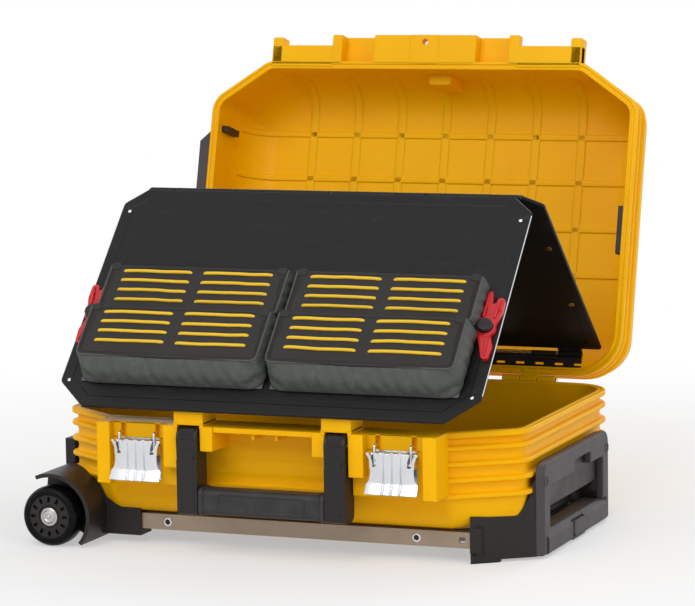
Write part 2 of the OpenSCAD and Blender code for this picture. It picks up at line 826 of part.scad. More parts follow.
module lid_shell() {
    far = -hinge_y + front_y;
    bars = 7;
    bar_pitch = 53.5;
    ceiling = lid_h - wall;
    color(case_yellow) in_lid() difference() {
        union() {
            difference() {
                union() {
                    lid_slab(0, lid_gap, lip_t);
                    for (i = [1:lid_ribs])
                        lid_slab(0, i * rib_pitch - rib_t / 2, i * rib_pitch + rib_t / 2);
                    lid_slab(rib_out, lip_t, dome_z);
                    lid_taper(rib_out, dome_z - 0.01, rib_out + 9, dome_knee);
                    lid_taper(rib_out + 9, dome_knee - 0.01, dome_in, lid_h);
                    lid_flange();
                    for (side = [-1, 1])
                        translate([side * hinge_x, 0, 0]) lid_leaf(9.5);
                }
                lid_slab(rib_out + wall, -1, dome_z + 0.01);
                lid_taper(rib_out + wall, dome_z, rib_out + wall + 9, dome_knee);
                lid_taper(rib_out + wall + 9, dome_knee - 0.01, dome_in + 3, ceiling);
            }
            // strengthening bars on the inside
            for (i = [-(bars - 1) / 2:(bars - 1) / 2])
                box([i * bar_pitch - 4.5, far + dome_in + 6, ceiling - 2],
                    [i * bar_pitch + 4.5, -dome_in - 12, ceiling + 0.5]);
            for (i = [0:3])
                box([-half_w + dome_in + 6, -127 - i * 50 - 3, ceiling - 2],
                    [half_w - dome_in - 6, -127 - i * 50 + 3, ceiling + 0.5]);
            // boss under the middle of the front wall
            translate([10, far + rib_out + wall, 30]) box([-13, -0.5, 0], [13, 12, 44]);
        }
        // recesses for the blocks of the base
        mirrored()
            box([arm_in - 8, far - flange_out - 2, -1], [arm_out + 8, far + 2.5, block_top - rim_z + 1]);
        // padlock eye
        translate([0, far - flange_out + 12, -1]) cylinder(h = flange_t + 2, r = 3.5);
        for (side = [-1, 1])
            translate([side * hinge_x, 0, 0]) rod_x(-12, 12, pin_r + slide_gap);
    }
}

// Bumper on the wheel end of the lid, which the case can stand on
module lid_bumper() {
    half = 79;
    slope = 12;
    color(housing_grey) in_lid() translate([0, -hinge_y, 4]) linear_extrude(dome_z - 4)
        polygon([
            [-half_w - seat_gap, -half - slope], [-half_w - seat_gap, half + slope],
            [-half_w - bumper_t, half], [-half_w - bumper_t, -half]
        ]);
}

module lid_clip_left() {
    inner = -half_w + rib_out + wall;
    color(frame_black) in_lid() box([inner, -275, 12], [inner + 7, -268, dome_z]);
}

module lid_clip_right() {
    inner = half_w - rib_out - wall;
    color(frame_black) in_lid() box([inner - 6, -192, 3], [inner, -140, 14]);
}

// ---------- tool panels ----------

// Rear panel: from its hinge in the lid (y = 0) up to the fold (y = -panel_len)
module in_rear() {
    translate([0, rear_y, rear_z]) rotate([-rear_slope, 0, 0]) children();
}

// Front panel: from its free edge (y = 0) up to the fold; z points outward
module in_front() {
    at_apex() translate([0, -panel_len, 0]) children();
}

module hinge_strip() {
    half = panel_w / 2 - 24;
    web = 3;
    color(frame_black) in_lid() difference() {
        union() {
            box([-half, -strip_s - 3, strip_t + fold_r + 1], [half, -hinge_wall_s - seat_gap, strip_t + fold_r + 1 + web]);
            for (side = [-1, 1], i = [0, 1])
                translate([side * (fold_x + fold_step * i), -strip_s, strip_t]) {
                    rod_x(-14, 14, fold_r);
                    box([-14, 0, 0], [14, fold_r + 3, fold_r + 2]);
                    box([-14, -fold_r, fold_r * 0.5], [14, fold_r, fold_r + 2]);
                }
        }
        translate([0, -strip_s, strip_t]) rod_x(-half - 1, half + 1, 1.5);
        for (x = [-9:9])
            box([x * 22 - 5, -hinge_wall_s - 6.5, strip_t], [x * 22 + 5, -hinge_wall_s - 4, strip_t + 20]);
    }
}

module strip_pin() {
    color(steel) in_lid() translate([0, -strip_s, strip_t]) rod_x(-panel_w / 2 + 49, panel_w / 2 - 49, 1.5);
}

// A board with cut corners at its free edge
module board(low_corner) {
    half = panel_w / 2;
    linear_extrude(board_t) polygon([
        [-half + panel_corner * low_corner, 0], [half - panel_corner * low_corner, 0],
        [half, panel_corner * low_corner * 0.9], [half, panel_len - 24],
        [half - 22, panel_len - 5], [-half + 22, panel_len - 5],
        [-half, panel_len - 24], [-half, panel_corner * low_corner * 0.9]
    ]);
}

module rear_board() {
    color([0.16, 0.16, 0.165]) difference() {
        in_rear() difference() {
            union() {
                mirror([0, 1, 0]) translate([0, fold_r + 1.5, board_in]) board_rear();
                for (side = [-1, 1], i = [0, 1])
                    translate([side * (fold_x + 30 + fold_step * i), 0, 0]) knuckle(13, -1);
                for (side = [-1, 1], i = [0, 1])
                    translate([side * (fold_x + fold_step * i), -panel_len, 0]) knuckle(14, 1);
            }
            rod_x(-panel_w, panel_w, 1.5 + slide_gap);
            translate([0, -panel_len, 0]) rod_x(-panel_w, panel_w, 1.5 + slide_gap);
        }
        at_rivets() cylinder(h = board_t + 2, r = rivet_r);
    }
}

module board_rear() {
    half = panel_w / 2;
    linear_extrude(board_t) polygon([
        [-half, 0], [half, 0], [half, panel_len - 24], [half - 22, panel_len - 9],
        [-half + 22, panel_len - 9], [-half, panel_len - 24]
    ]);
}

// One knuckle on a fold's axis; toward is the side on which its board lies along y
module knuckle(half, toward) {
    rod_x(-half, half, fold_r);
    box([-half, min(0, toward * (fold_r + 5)), 0.5], [half, max(0, toward * (fold_r + 5)), board_in + 0.5]);
}

module at_rivets() {
    in_rear()
        for (side = [-1, 1], u = [90, 190])
            translate([side * clip_x, -u, board_in - 1]) children();
}

module rear_rivets() {
    color([0.80, 0.65, 0.25]) at_rivets() cylinder(h = board_t + 2, r = rivet_r);
}

module front_board() {
    color([0.15, 0.15, 0.155]) difference() {
        union() {
            in_front() translate([0, 0, board_in]) board(1);
            at_apex() for (side = [-1, 1], i = [0, 1])
                translate([side * (fold_x + 30 + fold_step * i), 0, 0]) knuckle(14, -1);
        }
        at_apex() rod_x(-panel_w, panel_w, 1.5);
        in_front() mirrored()
            box([arm_in + arm_w / 2 - notch_w / 2, -1, -1], [arm_in + arm_w / 2 + notch_w / 2, 13, 20]);
    }
}

module at_apex() {
    translate([0, apex_y, apex_z]) rotate([front_slope, 0, 0]) children();
}

module apex_pin() {
    color(frame_black) at_apex() rod_x(-panel_w / 2 + 19, panel_w / 2 - 19, 1.5);
}

// Open-topped cloth pocket, drawn on a board whose outer face is at z = 0; its foot reaches below its front
module pocket(h, high, foot) {
    half = pocket_w / 2;
    difference() {
        extrude_x(-half, half) polygon([
            [-foot, 0], [-foot * 0.6, h * 0.5], [-1, h - 3], [2, h], [high, h], [high, 0]
        ]);
        extrude_x(-half + cloth_t, half - cloth_t) polygon([
            [cloth_t - foot, cloth_t], [cloth_t - foot * 0.6, h * 0.5], [cloth_t - 1, h - cloth_t - 1],
            [cloth_t + 2, h - cloth_t], [high + 1, h - cloth_t], [high + 1, cloth_t]
        ]);
        // the ribbed plate stands in place of the cloth
        box([-half + plate_in, plate_in, h - cloth_t - 1], [half - plate_in, high + 1, h + 1]);
    }
}

// Distance of a row of cords above a pocket's low edge
function row_u(high, row) = high - 7 - row * row_pitch;

// Ribbed plate at the front of a pocket, with a groove for each cord
module plate(h, high) {
    half = pocket_w / 2 - plate_in - 0.1;
    top = h - cloth_t + plate_t2 + 2;
    difference() {
        box([-half, plate_in + 0.1, h - cloth_t], [half, high, top]);
        for (row = [0:elastic_rows - 1])
            translate([0, row_u(high, row), 0])
                box([-half + 3, -elastic_d / 2 - 0.6, h - cloth_t + plate_t2],
                    [half - 3, elastic_d / 2 + 0.6, top + 1]);
    }
}

// Two lengths of cord in each groove of one plate
module elastics(h, high) {
    end = pocket_w / 2 - plate_in - 5;
    middle = 5;
    for (row = [0:elastic_rows - 1], side = [0, 1])
        mirror([side, 0, 0])
            translate([0, row_u(high, row), h - cloth_t + plate_t2 + elastic_d / 2])
                rod_x(middle, end, elastic_d / 2);
}

module on_front(u, x) in_front() translate([x, u, board_in + board_t]) children();

module on_rear(u, x) in_rear() mirror([0, 1, 0]) translate([x, u, board_in + board_t]) children();

module lower_pocket(side) on_front(pocket_low, side * pocket_x) pocket(pocket_h, plate_h, pocket_foot);

module upper_pocket(side) on_front(upper_low, side * pocket_x) pocket(upper_h, upper_high, 0);

module rear_pocket(side) on_rear(rear_low, side * pocket_x) pocket(upper_h, upper_high, rear_foot);

module lower_plate(side) on_front(pocket_low, side * pocket_x) plate(pocket_h, plate_h);

module upper_plate(side) on_front(upper_low, side * pocket_x) plate(upper_h, upper_high);

module rear_plate(side) on_rear(rear_low, side * pocket_x) plate(upper_h, upper_high);

module pocket_lower_left() color(cloth_grey) lower_pocket(-1);

module pocket_lower_right() color(cloth_grey) lower_pocket(1);

module pocket_upper_left() color(cloth_grey) upper_pocket(-1);

module pocket_upper_right() color(cloth_grey) upper_pocket(1);

module rear_pocket_left() color(cloth_grey) rear_pocket(-1);

module rear_pocket_right() color(cloth_grey) rear_pocket(1);

module plate_lower_left() color(frame_black) lower_plate(-1);

module plate_lower_right() color(frame_black) lower_plate(1);

module plate_upper_left() color(frame_black) upper_plate(-1);

module plate_upper_right() color(frame_black) upper_plate(1);

module rear_plate_left() color(frame_black) rear_plate(-1);

module rear_plate_right() color(frame_black) rear_plate(1);

module elastics_lower() {
    color(elastic_yellow)
        for (side = [-1, 1]) on_front(pocket_low, side * pocket_x) elastics(pocket_h, plate_h);
}

module elastics_upper() {
    color(elastic_yellow)
        for (side = [-1, 1]) on_front(upper_low, side * pocket_x) elastics(upper_h, upper_high);
}

module rear_elastics() {
    color(elastic_yellow)
        for (side = [-1, 1]) on_rear(rear_low, side * pocket_x) elastics(upper_h, upper_high);
}

// Locking clip with two finger lobes, slotted to slide outward on its knob
module clip() {
    lobe = 30;
    difference() {
        linear_extrude(7) polygon(rounded([
            [3, -lobe - 6, 3], [9.6, -lobe - 5, 3], [11, -20, 5], [9.4, 0, 5], [12.2, 20, 4],
            [12.2, lobe + 7, 3.5], [4.6, lobe + 8, 3], [2.4, 22, 1], [-2.4, lobe + 14, 2.4],
            [-7.6, lobe + 13, 2.4], [-7.2, 14, 5], [-8.4, 2, 4], [-7.6, -8, 5], [-2.6, -20, 5]
        ]));
        for (x = [0, -clip_travel])
            translate([x, 0, -1]) cylinder(h = 9, r = knob_r + slide_gap);
        box([-clip_travel, -knob_r - slide_gap, -1], [0, knob_r + slide_gap, 8]);
    }
}

module clip_left() {
    color(clip_red) on_front(clip_u, -clip_x) translate([0, 0, seat_gap]) mirror([1, 0, 0]) clip();
}

module clip_right() color(clip_red) on_front(clip_u, clip_x) translate([0, 0, seat_gap]) clip();

module clip_knobs() {
    color(frame_black)
        for (side = [-1, 1]) on_front(clip_u, side * clip_x) {
            cylinder(h = 7.6, r = knob_r);
            translate([0, 0, 7.6]) cylinder(h = 6, r = 8);
        }
}

placed() base_shell();
placed() floor_liner();
placed() rail_front();
placed() rail_back();
placed() rail_screws();
placed() wheel_frame();
placed() axle();
placed() end_housing();
placed() housing_screws();
placed() hinge_pins();
placed() latch_plate_left();
placed() latch_plate_right();
placed() latch_pins();
placed() handle_pins();
placed() trolley_sleeves();
placed() carry_handle();
placed() handle_grip();
placed() lever_left();
placed() lever_right();
placed() bail_left();
placed() bail_right();
placed() tyre_front();
placed() tyre_back();
placed() hub_front();
placed() hub_back();
placed() hub_cap_front();
placed() hub_cap_back();
placed() trolley_mid_tubes();
placed() trolley_tubes();
placed() trolley_grip();
placed() trolley_button();
placed() lid_shell();
placed() lid_bumper();
placed() lid_clip_left();
placed() lid_clip_right();
placed() hinge_strip();
placed() strip_pin();
placed() rear_board();
placed() rear_rivets();
placed() rear_pocket_left();
placed() rear_pocket_right();
placed() rear_plate_left();
placed() rear_plate_right();
placed() rear_elastics();
placed() front_board();
placed() pocket_lower_left();
placed() pocket_lower_right();
placed() pocket_upper_left();
placed() pocket_upper_right();
placed() plate_lower_left();
placed() plate_lower_right();
placed() plate_upper_left();
placed() plate_upper_right();
placed() elastics_lower();
placed() elastics_upper();
placed() apex_pin();
placed() clip_knobs();
placed() clip_left();
placed() clip_right();
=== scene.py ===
"""Looks of a wheeled hard tool case: ribbed moulded shells, a tent of two pocket panels, latches,
wheels and a pull-out handle. Lengths are in metres; the case lies along X and its front faces -Y."""

import json
import math

import bmesh
import bpy
from mathutils import Matrix, Vector

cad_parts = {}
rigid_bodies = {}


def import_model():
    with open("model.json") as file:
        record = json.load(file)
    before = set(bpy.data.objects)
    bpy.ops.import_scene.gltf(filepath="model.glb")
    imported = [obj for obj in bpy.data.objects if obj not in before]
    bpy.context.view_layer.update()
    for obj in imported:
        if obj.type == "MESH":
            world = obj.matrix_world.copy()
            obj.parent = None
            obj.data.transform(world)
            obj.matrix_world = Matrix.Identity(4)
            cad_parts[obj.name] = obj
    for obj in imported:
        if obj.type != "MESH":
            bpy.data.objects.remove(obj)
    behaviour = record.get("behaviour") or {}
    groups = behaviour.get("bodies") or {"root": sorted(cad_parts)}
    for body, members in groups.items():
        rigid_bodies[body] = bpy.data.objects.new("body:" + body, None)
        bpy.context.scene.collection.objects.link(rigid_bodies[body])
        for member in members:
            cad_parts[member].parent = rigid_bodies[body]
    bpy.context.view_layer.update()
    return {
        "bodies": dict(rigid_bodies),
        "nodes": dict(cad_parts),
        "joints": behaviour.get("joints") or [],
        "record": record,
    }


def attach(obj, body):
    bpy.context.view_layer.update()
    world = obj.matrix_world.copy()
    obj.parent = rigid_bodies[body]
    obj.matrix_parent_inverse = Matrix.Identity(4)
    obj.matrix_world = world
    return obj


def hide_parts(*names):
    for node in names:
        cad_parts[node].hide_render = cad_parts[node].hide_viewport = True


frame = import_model()

# ---------- sizes ----------

JOINTS = {joint["name"]: joint for joint in frame["joints"]}
LID_HINGE = Vector(JOINTS["lid_hinge"]["pos_m"])
LID_OPEN = math.radians(105)

CASE_X = LID_HINGE.x
RIM_Z = LID_HINGE.z
HALF_W = 0.250                   # half the shell's length, over its ribs
HALF_D = 0.171                   # half its depth
MID_Y = LID_HINGE.y - HALF_D - 0.006
CORNER_W = 0.065                 # how far a cut front corner reaches along X
CORNER_D = 0.045                 # and along Y
FRONT_R = 0.026
REAR_R = 0.048
WALL = 0.0035
RIB_OUT = 0.0055
RIB_PITCH = 0.016
RIB_T = 0.005
LID_H = 0.095


def linked(name, data):
    """A new object in the scene, at the origin."""
    made = bpy.data.objects.new(name, data)
    bpy.context.scene.collection.objects.link(made)
    return made


# ---------- camera ----------

AZIMUTH = math.radians(21.749)
ELEVATION = math.radians(7.283)
ROLL = math.radians(-0.916)
DISTANCE = 3.35304
AIM = Vector((CASE_X + 0.011833, MID_Y, 0.233643))
LENS = 167.56


def set_camera():
    """A long lens, turned to the case's right front corner and looking slightly down on it."""
    back = Vector((math.sin(AZIMUTH) * math.cos(ELEVATION),
                   -math.cos(AZIMUTH) * math.cos(ELEVATION),
                   math.sin(ELEVATION)))
    right = (-back).cross(Vector((0, 0, 1))).normalized()
    up = right.cross(-back)
    right, up = (right * math.cos(ROLL) + up * math.sin(ROLL),
                 up * math.cos(ROLL) - right * math.sin(ROLL))
    data = bpy.data.cameras.new("camera")
    data.lens = LENS
    data.sensor_width = 36
    data.clip_end = 20
    camera = linked("camera", data)
    turn = Matrix((right, up, back)).transposed().to_4x4()
    camera.matrix_world = Matrix.Translation(AIM + back * DISTANCE) @ turn
    bpy.context.scene.camera = camera


set_camera()

# ---------- shader writing ----------


class Value:
    """A socket in a node tree; arithmetic on it adds Math nodes."""

    def __init__(self, tree, socket):
        self.tree = tree
        self.socket = socket

    def _math(self, operation, *inputs):
        """Adds one Math node to the same tree."""
        return Tree.add_math(self.tree, operation, inputs)

    def __add__(self, other):
        return self._math("ADD", self, other)

    __radd__ = __add__

    def __sub__(self, other):
        return self._math("SUBTRACT", self, other)

    def __rsub__(self, other):
        return self._math("SUBTRACT", other, self)

    def __mul__(self, other):
        return self._math("MULTIPLY", self, other)

    __rmul__ = __mul__

    def __truediv__(self, other):
        return self._math("DIVIDE", self, other)

    def __abs__(self):
        return self._math("ABSOLUTE", self)

    def __pow__(self, other):
        return self._math("POWER", self, other)

    def above(self, edge, soft=0.02):
        """0 below edge, 1 above it, with a soft step between."""
        share = (self - (edge - soft)) / (2 * soft)
        return self._math("MINIMUM", self._math("MAXIMUM", share, 0.0), 1.0)


class Tree:
    """One material's node tree, with its shader and short calls for what feeds it."""

    def __init__(self, name):
        self.material = bpy.data.materials.new(name)
        self.material.use_nodes = True
        self.tree = self.material.node_tree
        self.shader = self.tree.nodes["Principled BSDF"]

    @staticmethod
    def add_math(tree, operation, inputs):
        """Adds a Math node and returns its result."""
        node = tree.nodes.new("ShaderNodeMath")
        node.operation = operation
        for socket, value in zip(node.inputs, inputs):
            Tree.feed(tree, socket, value)
        return Value(tree, node.outputs[0])

    @staticmethod
    def feed(tree, socket, value):
        """Links a socket to another, or sets its number or colour."""
        if isinstance(value, Value):
            tree.links.new(value.socket, socket)
        else:
            socket.default_value = value

    def node(self, kind, settings=None, out=0, **sockets):
        """Adds a node: its settings first, then its sockets by name, with _ for a space."""
        node = self.tree.nodes.new("ShaderNode" + kind)
        for key, value in (settings or {}).items():
            setattr(node, key, value)
        for key, value in sockets.items():
            wanted = key.replace("_", " ").lower()
            socket = next(s for s in node.inputs if s.name.lower() == wanted and s.enabled)
            self.feed(self.tree, socket, value)
        return Value(self.tree, node.outputs[out])

    def place(self):
        """Object coordinates in metres."""
        return self.node("TexCoord", out=3)

    def noise(self, scale, detail=3.0, rough=0.55, stretch=None):
        """Soft noise in metres, stretched along an axis where that is asked for."""
        where = self.place()
        if stretch:
            where = self.node("Mapping", Vector=where, Scale=stretch)
        return self.node("TexNoise", Vector=where, Scale=scale, Detail=detail, Roughness=rough)

    def cells(self, scale, feature="F1"):
        """Voronoi cells in metres."""
        return self.node("TexVoronoi", {"feature": feature}, Vector=self.place(), Scale=scale)

    def mix(self, factor, first, second):
        """Mixes two colours."""
        node = self.tree.nodes.new("ShaderNodeMix")
        node.data_type = "RGBA"
        for socket, value in zip((node.inputs[0], node.inputs[6], node.inputs[7]),
                                 (factor, first, second)):
            self.feed(self.tree, socket, value)
        return Value(self.tree, node.outputs[2])

    def bump(self, height, depth, strength=1.0, over=None):
        """A normal from a height, laid over another normal where one is given."""
        node = self.tree.nodes.new("ShaderNodeBump")
        node.inputs["Strength"].default_value = strength
        node.inputs["Distance"].default_value = depth
        self.feed(self.tree, node.inputs["Height"], height)
        if over:
            self.feed(self.tree, node.inputs["Normal"], over)
        return Value(self.tree, node.outputs[0])

    def edges(self, radius):
        """A normal that rounds the sharp edges of a moulding or a pressing."""
        return self.node("Bevel", {"samples": 6}, Radius=radius)

    def finish(self, **sockets):
        """Feeds the shader; names are its sockets' names with _ for a space."""
        for key, value in sockets.items():
            wanted = key.replace("_", " ").lower()
            socket = next(s for s in self.shader.inputs if s.name.lower() == wanted)
            self.feed(self.tree, socket, value)
        return self.material


def rgb(red, green, blue):
    """A colour given as the eye sees it on a screen, 0 to 255."""
    def linear(part):
        """One channel from its display value to linear light."""
        part /= 255
        return part / 12.92 if part <= 0.04045 else ((part + 0.055) / 1.055) ** 2.4
    return (linear(red), linear(green), linear(blue), 1.0)


# ---------- finishes ----------


def moulded(name, colour, deeper, rough, grain=2400, grain_depth=0.00004, edge=0.0012, glow=0.0,
            shine=0.3):
    """Moulded plastic: fine spark-eroded grain, slow changes of tone, softened edges."""
    tree = Tree(name)
    tone = tree.noise(9, 4).above(0.52, 0.16)
    scuff = tree.noise(60, 5, 0.7, (1, 1, 3)).above(0.66, 0.05)
    fine = tree.cells(grain)
    colour_now = tree.mix(tone * 0.7, colour, deeper)
    normal = tree.bump(fine, grain_depth, 0.5, tree.edges(edge))
    return tree.finish(
        Base_Color=colour_now,
        Roughness=tree.noise(35, 3) * 0.16 + (rough - 0.08) + scuff * 0.06,
        Subsurface_Weight=glow,
        Subsurface_Scale=0.006,
        Specular_IOR_Level=shine,
        Normal=normal,
    )


def steel(name, colour, rough, brushed=(1, 1, 30), metallic=1.0):
    """Plated or drawn metal with faint brushing along one way and a mottled tone."""
    tree = Tree(name)
    lines = tree.noise(500, 4, 0.6, brushed)
    mottle = tree.noise(45, 4)
    dark = tuple(part * 0.78 for part in colour[:3]) + (1.0,)
    return tree.finish(
        Base_Color=tree.mix(mottle.above(0.5, 0.25) * 0.6, colour, dark),
        Metallic=metallic,
        Roughness=lines * 0.18 + (rough - 0.06) + mottle * 0.06,
        Normal=tree.bump(lines, 0.00002, 0.5, tree.edges(0.0006)),
    )


def tyre_rubber():
    """Glossy cast tyre: nearly black, with a fine noise in its surface and a few scuffs."""
    tree = Tree("tyre_rubber")
    scuff = tree.noise(130, 6, 0.7).above(0.60, 0.06)
    return tree.finish(
        Base_Color=tree.mix(scuff, rgb(10, 10, 10), rgb(28, 27, 26)),
        Roughness=scuff * 0.25 + 0.26 + tree.noise(300, 3) * 0.08,
        Specular_IOR_Level=0.1,
        Normal=tree.bump(tree.noise(900, 4), 0.00004, 0.5, tree.edges(0.0012)),
    )


def grip_rubber():
    """Soft-touch rubber with a fine leathery grain."""
    tree = Tree("grip_rubber")
    grain = tree.cells(900, "DISTANCE_TO_EDGE")
    dust = tree.noise(50, 5, 0.65).above(0.56, 0.1)
    return tree.finish(
        Base_Color=tree.mix(dust * 0.6, rgb(44, 43, 44), rgb(66, 64, 64)),
        Roughness=dust * 0.14 + 0.52,
        Specular_IOR_Level=0.35,
        Normal=tree.bump(grain, 0.00012, 0.35, tree.edges(0.002)),
    )


def foam_liner():
    """Open foam: dark, dull, pitted, with painted shade darkening the bottoms of its pits."""
    tree = Tree("foam_liner")
    pits_and_pit_shade = tree.cells(1300)
    return tree.finish(
        # darker towards the bottom of each pit: painted shade in the hollows
        Base_Color=tree.mix(pits_and_pit_shade.above(0.35, 0.2), rgb(30, 24, 18), rgb(56, 48, 38)),
        Roughness=pits_and_pit_shade * 0.1 + 0.88,
        Specular_IOR_Level=0.15,
        Normal=tree.bump(pits_and_pit_shade, 0.0004, 0.8),
    )


def coated_cloth(name, colour, lighter):
    """Coated cloth: a fine plain weave under the coating, with soft creases and rubbed places; the colour
    follows the creases' height, painted darker in their hollows as shade and lighter on their crests as
    light.
    """
    tree = Tree(name)
    place = tree.place()
    across = tree.node("TexWave", {"bands_direction": "X"}, Vector=place, Scale=420.0, Distortion=0.6)
    along = tree.node("TexWave", {"bands_direction": "Z"}, Vector=place, Scale=420.0, Distortion=0.6)
    weave = across * along
    creases_and_crease_shade = tree.noise(38, 6, 0.62, (0.5, 1, 1.6))
    rubbed = tree.noise(90, 6, 0.7).above(0.60, 0.08)
    low = tree.bump(creases_and_crease_shade, 0.0012, 0.55)
    return tree.finish(
        # the creases tint the colour: painted shade in their hollows, painted light on their crests; the
        # rubbed places are lighter wear
        Base_Color=tree.mix(rubbed * 0.5 + creases_and_crease_shade * 0.3, colour, lighter),
        Roughness=rubbed * 0.12 + 0.5 + weave * 0.08,
        Specular_IOR_Level=0.4,
        Normal=tree.bump(weave, 0.00008, 0.5, low),
    )


def pressed_board():
    """Panel board: black film with leather grain, faint crinkles and light rub marks."""
    tree = Tree("pressed_board")
    leather = tree.cells(650, "DISTANCE_TO_EDGE")
    crinkle = tree.noise(22, 7, 0.62, (0.35, 1, 1.6))
    rub = tree.noise(120, 6, 0.75, (0.2, 1, 1)).above(0.64, 0.05)
    low = tree.bump(crinkle, 0.0022, 0.45, tree.edges(0.0012))
    return tree.finish(
        Base_Color=tree.mix(rub * 0.5, rgb(22, 21, 21), rgb(52, 50, 50)),
        Roughness=crinkle * 0.18 + 0.33 + rub * 0.14,
        Specular_IOR_Level=0.22,
        Normal=tree.bump(leather, 0.0001, 0.35, low),
    )


def elastic_cord():
    """Braided elastic: bright yellow with a fine slanting braid."""
    tree = Tree("elastic_cord")
    braid = tree.node("TexWave", {"bands_direction": "DIAGONAL"}, Vector=tree.place(),
                      Scale=330.0, Distortion=0.8)
    fuzz = tree.noise(700, 4)
    return tree.finish(
        Base_Color=tree.mix(braid * 0.5, rgb(250, 205, 20), rgb(206, 156, 10)),
        Roughness=fuzz * 0.12 + 0.56,
        Sheen_Weight=0.15,
        Normal=tree.bump(braid, 0.0002, 0.5),
    )


def clip_plastic():
    """Glossy red moulding with slow flow marks in its tone."""
    tree = Tree("clip_plastic")
    flow = tree.noise(40, 4, 0.6, (1, 0.4, 0.4))
    return tree.finish(
        Base_Color=tree.mix(flow.above(0.5, 0.2) * 0.6, rgb(214, 22, 34), rgb(176, 10, 24)),
        Roughness=flow * 0.12 + 0.26,
        Coat_Weight=0.2,
        Normal=tree.bump(tree.noise(260, 3), 0.00005, 0.4, tree.edges(0.0015)),
    )


FINISH = {
    "case_yellow": moulded("case_yellow", rgb(252, 189, 0), rgb(245, 175, 0), 0.4, glow=0.08,
                           shine=0.12),
    "frame_black": moulded("frame_black", rgb(38, 34, 33), rgb(29, 26, 26), 0.44, 1700, 0.00006),
    "housing_grey": moulded("housing_grey", rgb(75, 70, 72), rgb(62, 58, 60), 0.5, 1700, 0.00006, 0.002),
    "grip_rubber": grip_rubber(),
    "liner_foam": foam_liner(),
    "rail_aluminium": steel("rail_aluminium", rgb(165, 148, 130), 0.42, (30, 1, 1), 0.75),
    "latch_steel": steel("latch_steel", rgb(224, 226, 230), 0.2, (1, 1, 12)),
    "tyre": tyre_rubber(),
    "cap_metal": steel("cap_metal", rgb(196, 194, 192), 0.24, (1, 1, 1)),
    "pocket_cloth": coated_cloth("pocket_cloth", rgb(70, 73, 70), rgb(96, 99, 95)),
    "board_black": pressed_board(),
    "elastic": elastic_cord(),
    "clip_red": clip_plastic(),
    "rivet_brass": steel("rivet_brass", rgb(208, 172, 96), 0.28, (1, 1, 1)),
}


def give(piece, finish):
    """Puts one finish on every face of a piece."""
    piece.data.materials.clear()
    piece.data.materials.append(FINISH[finish])


SLOTS = {entry["node"]: entry["material_slot"] for entry in frame["record"]["subparts"]}
for node_name, node_object in frame["nodes"].items():
    give(node_object, SLOTS[node_name])

# ---------- making pieces ----------


def flatten(piece):
    """Turns a piece's modifiers into its plain mesh."""
    graph = bpy.context.evaluated_depsgraph_get()
    mesh = bpy.data.meshes.new_from_object(piece.evaluated_get(graph))
    piece.modifiers.clear()
    piece.data = mesh


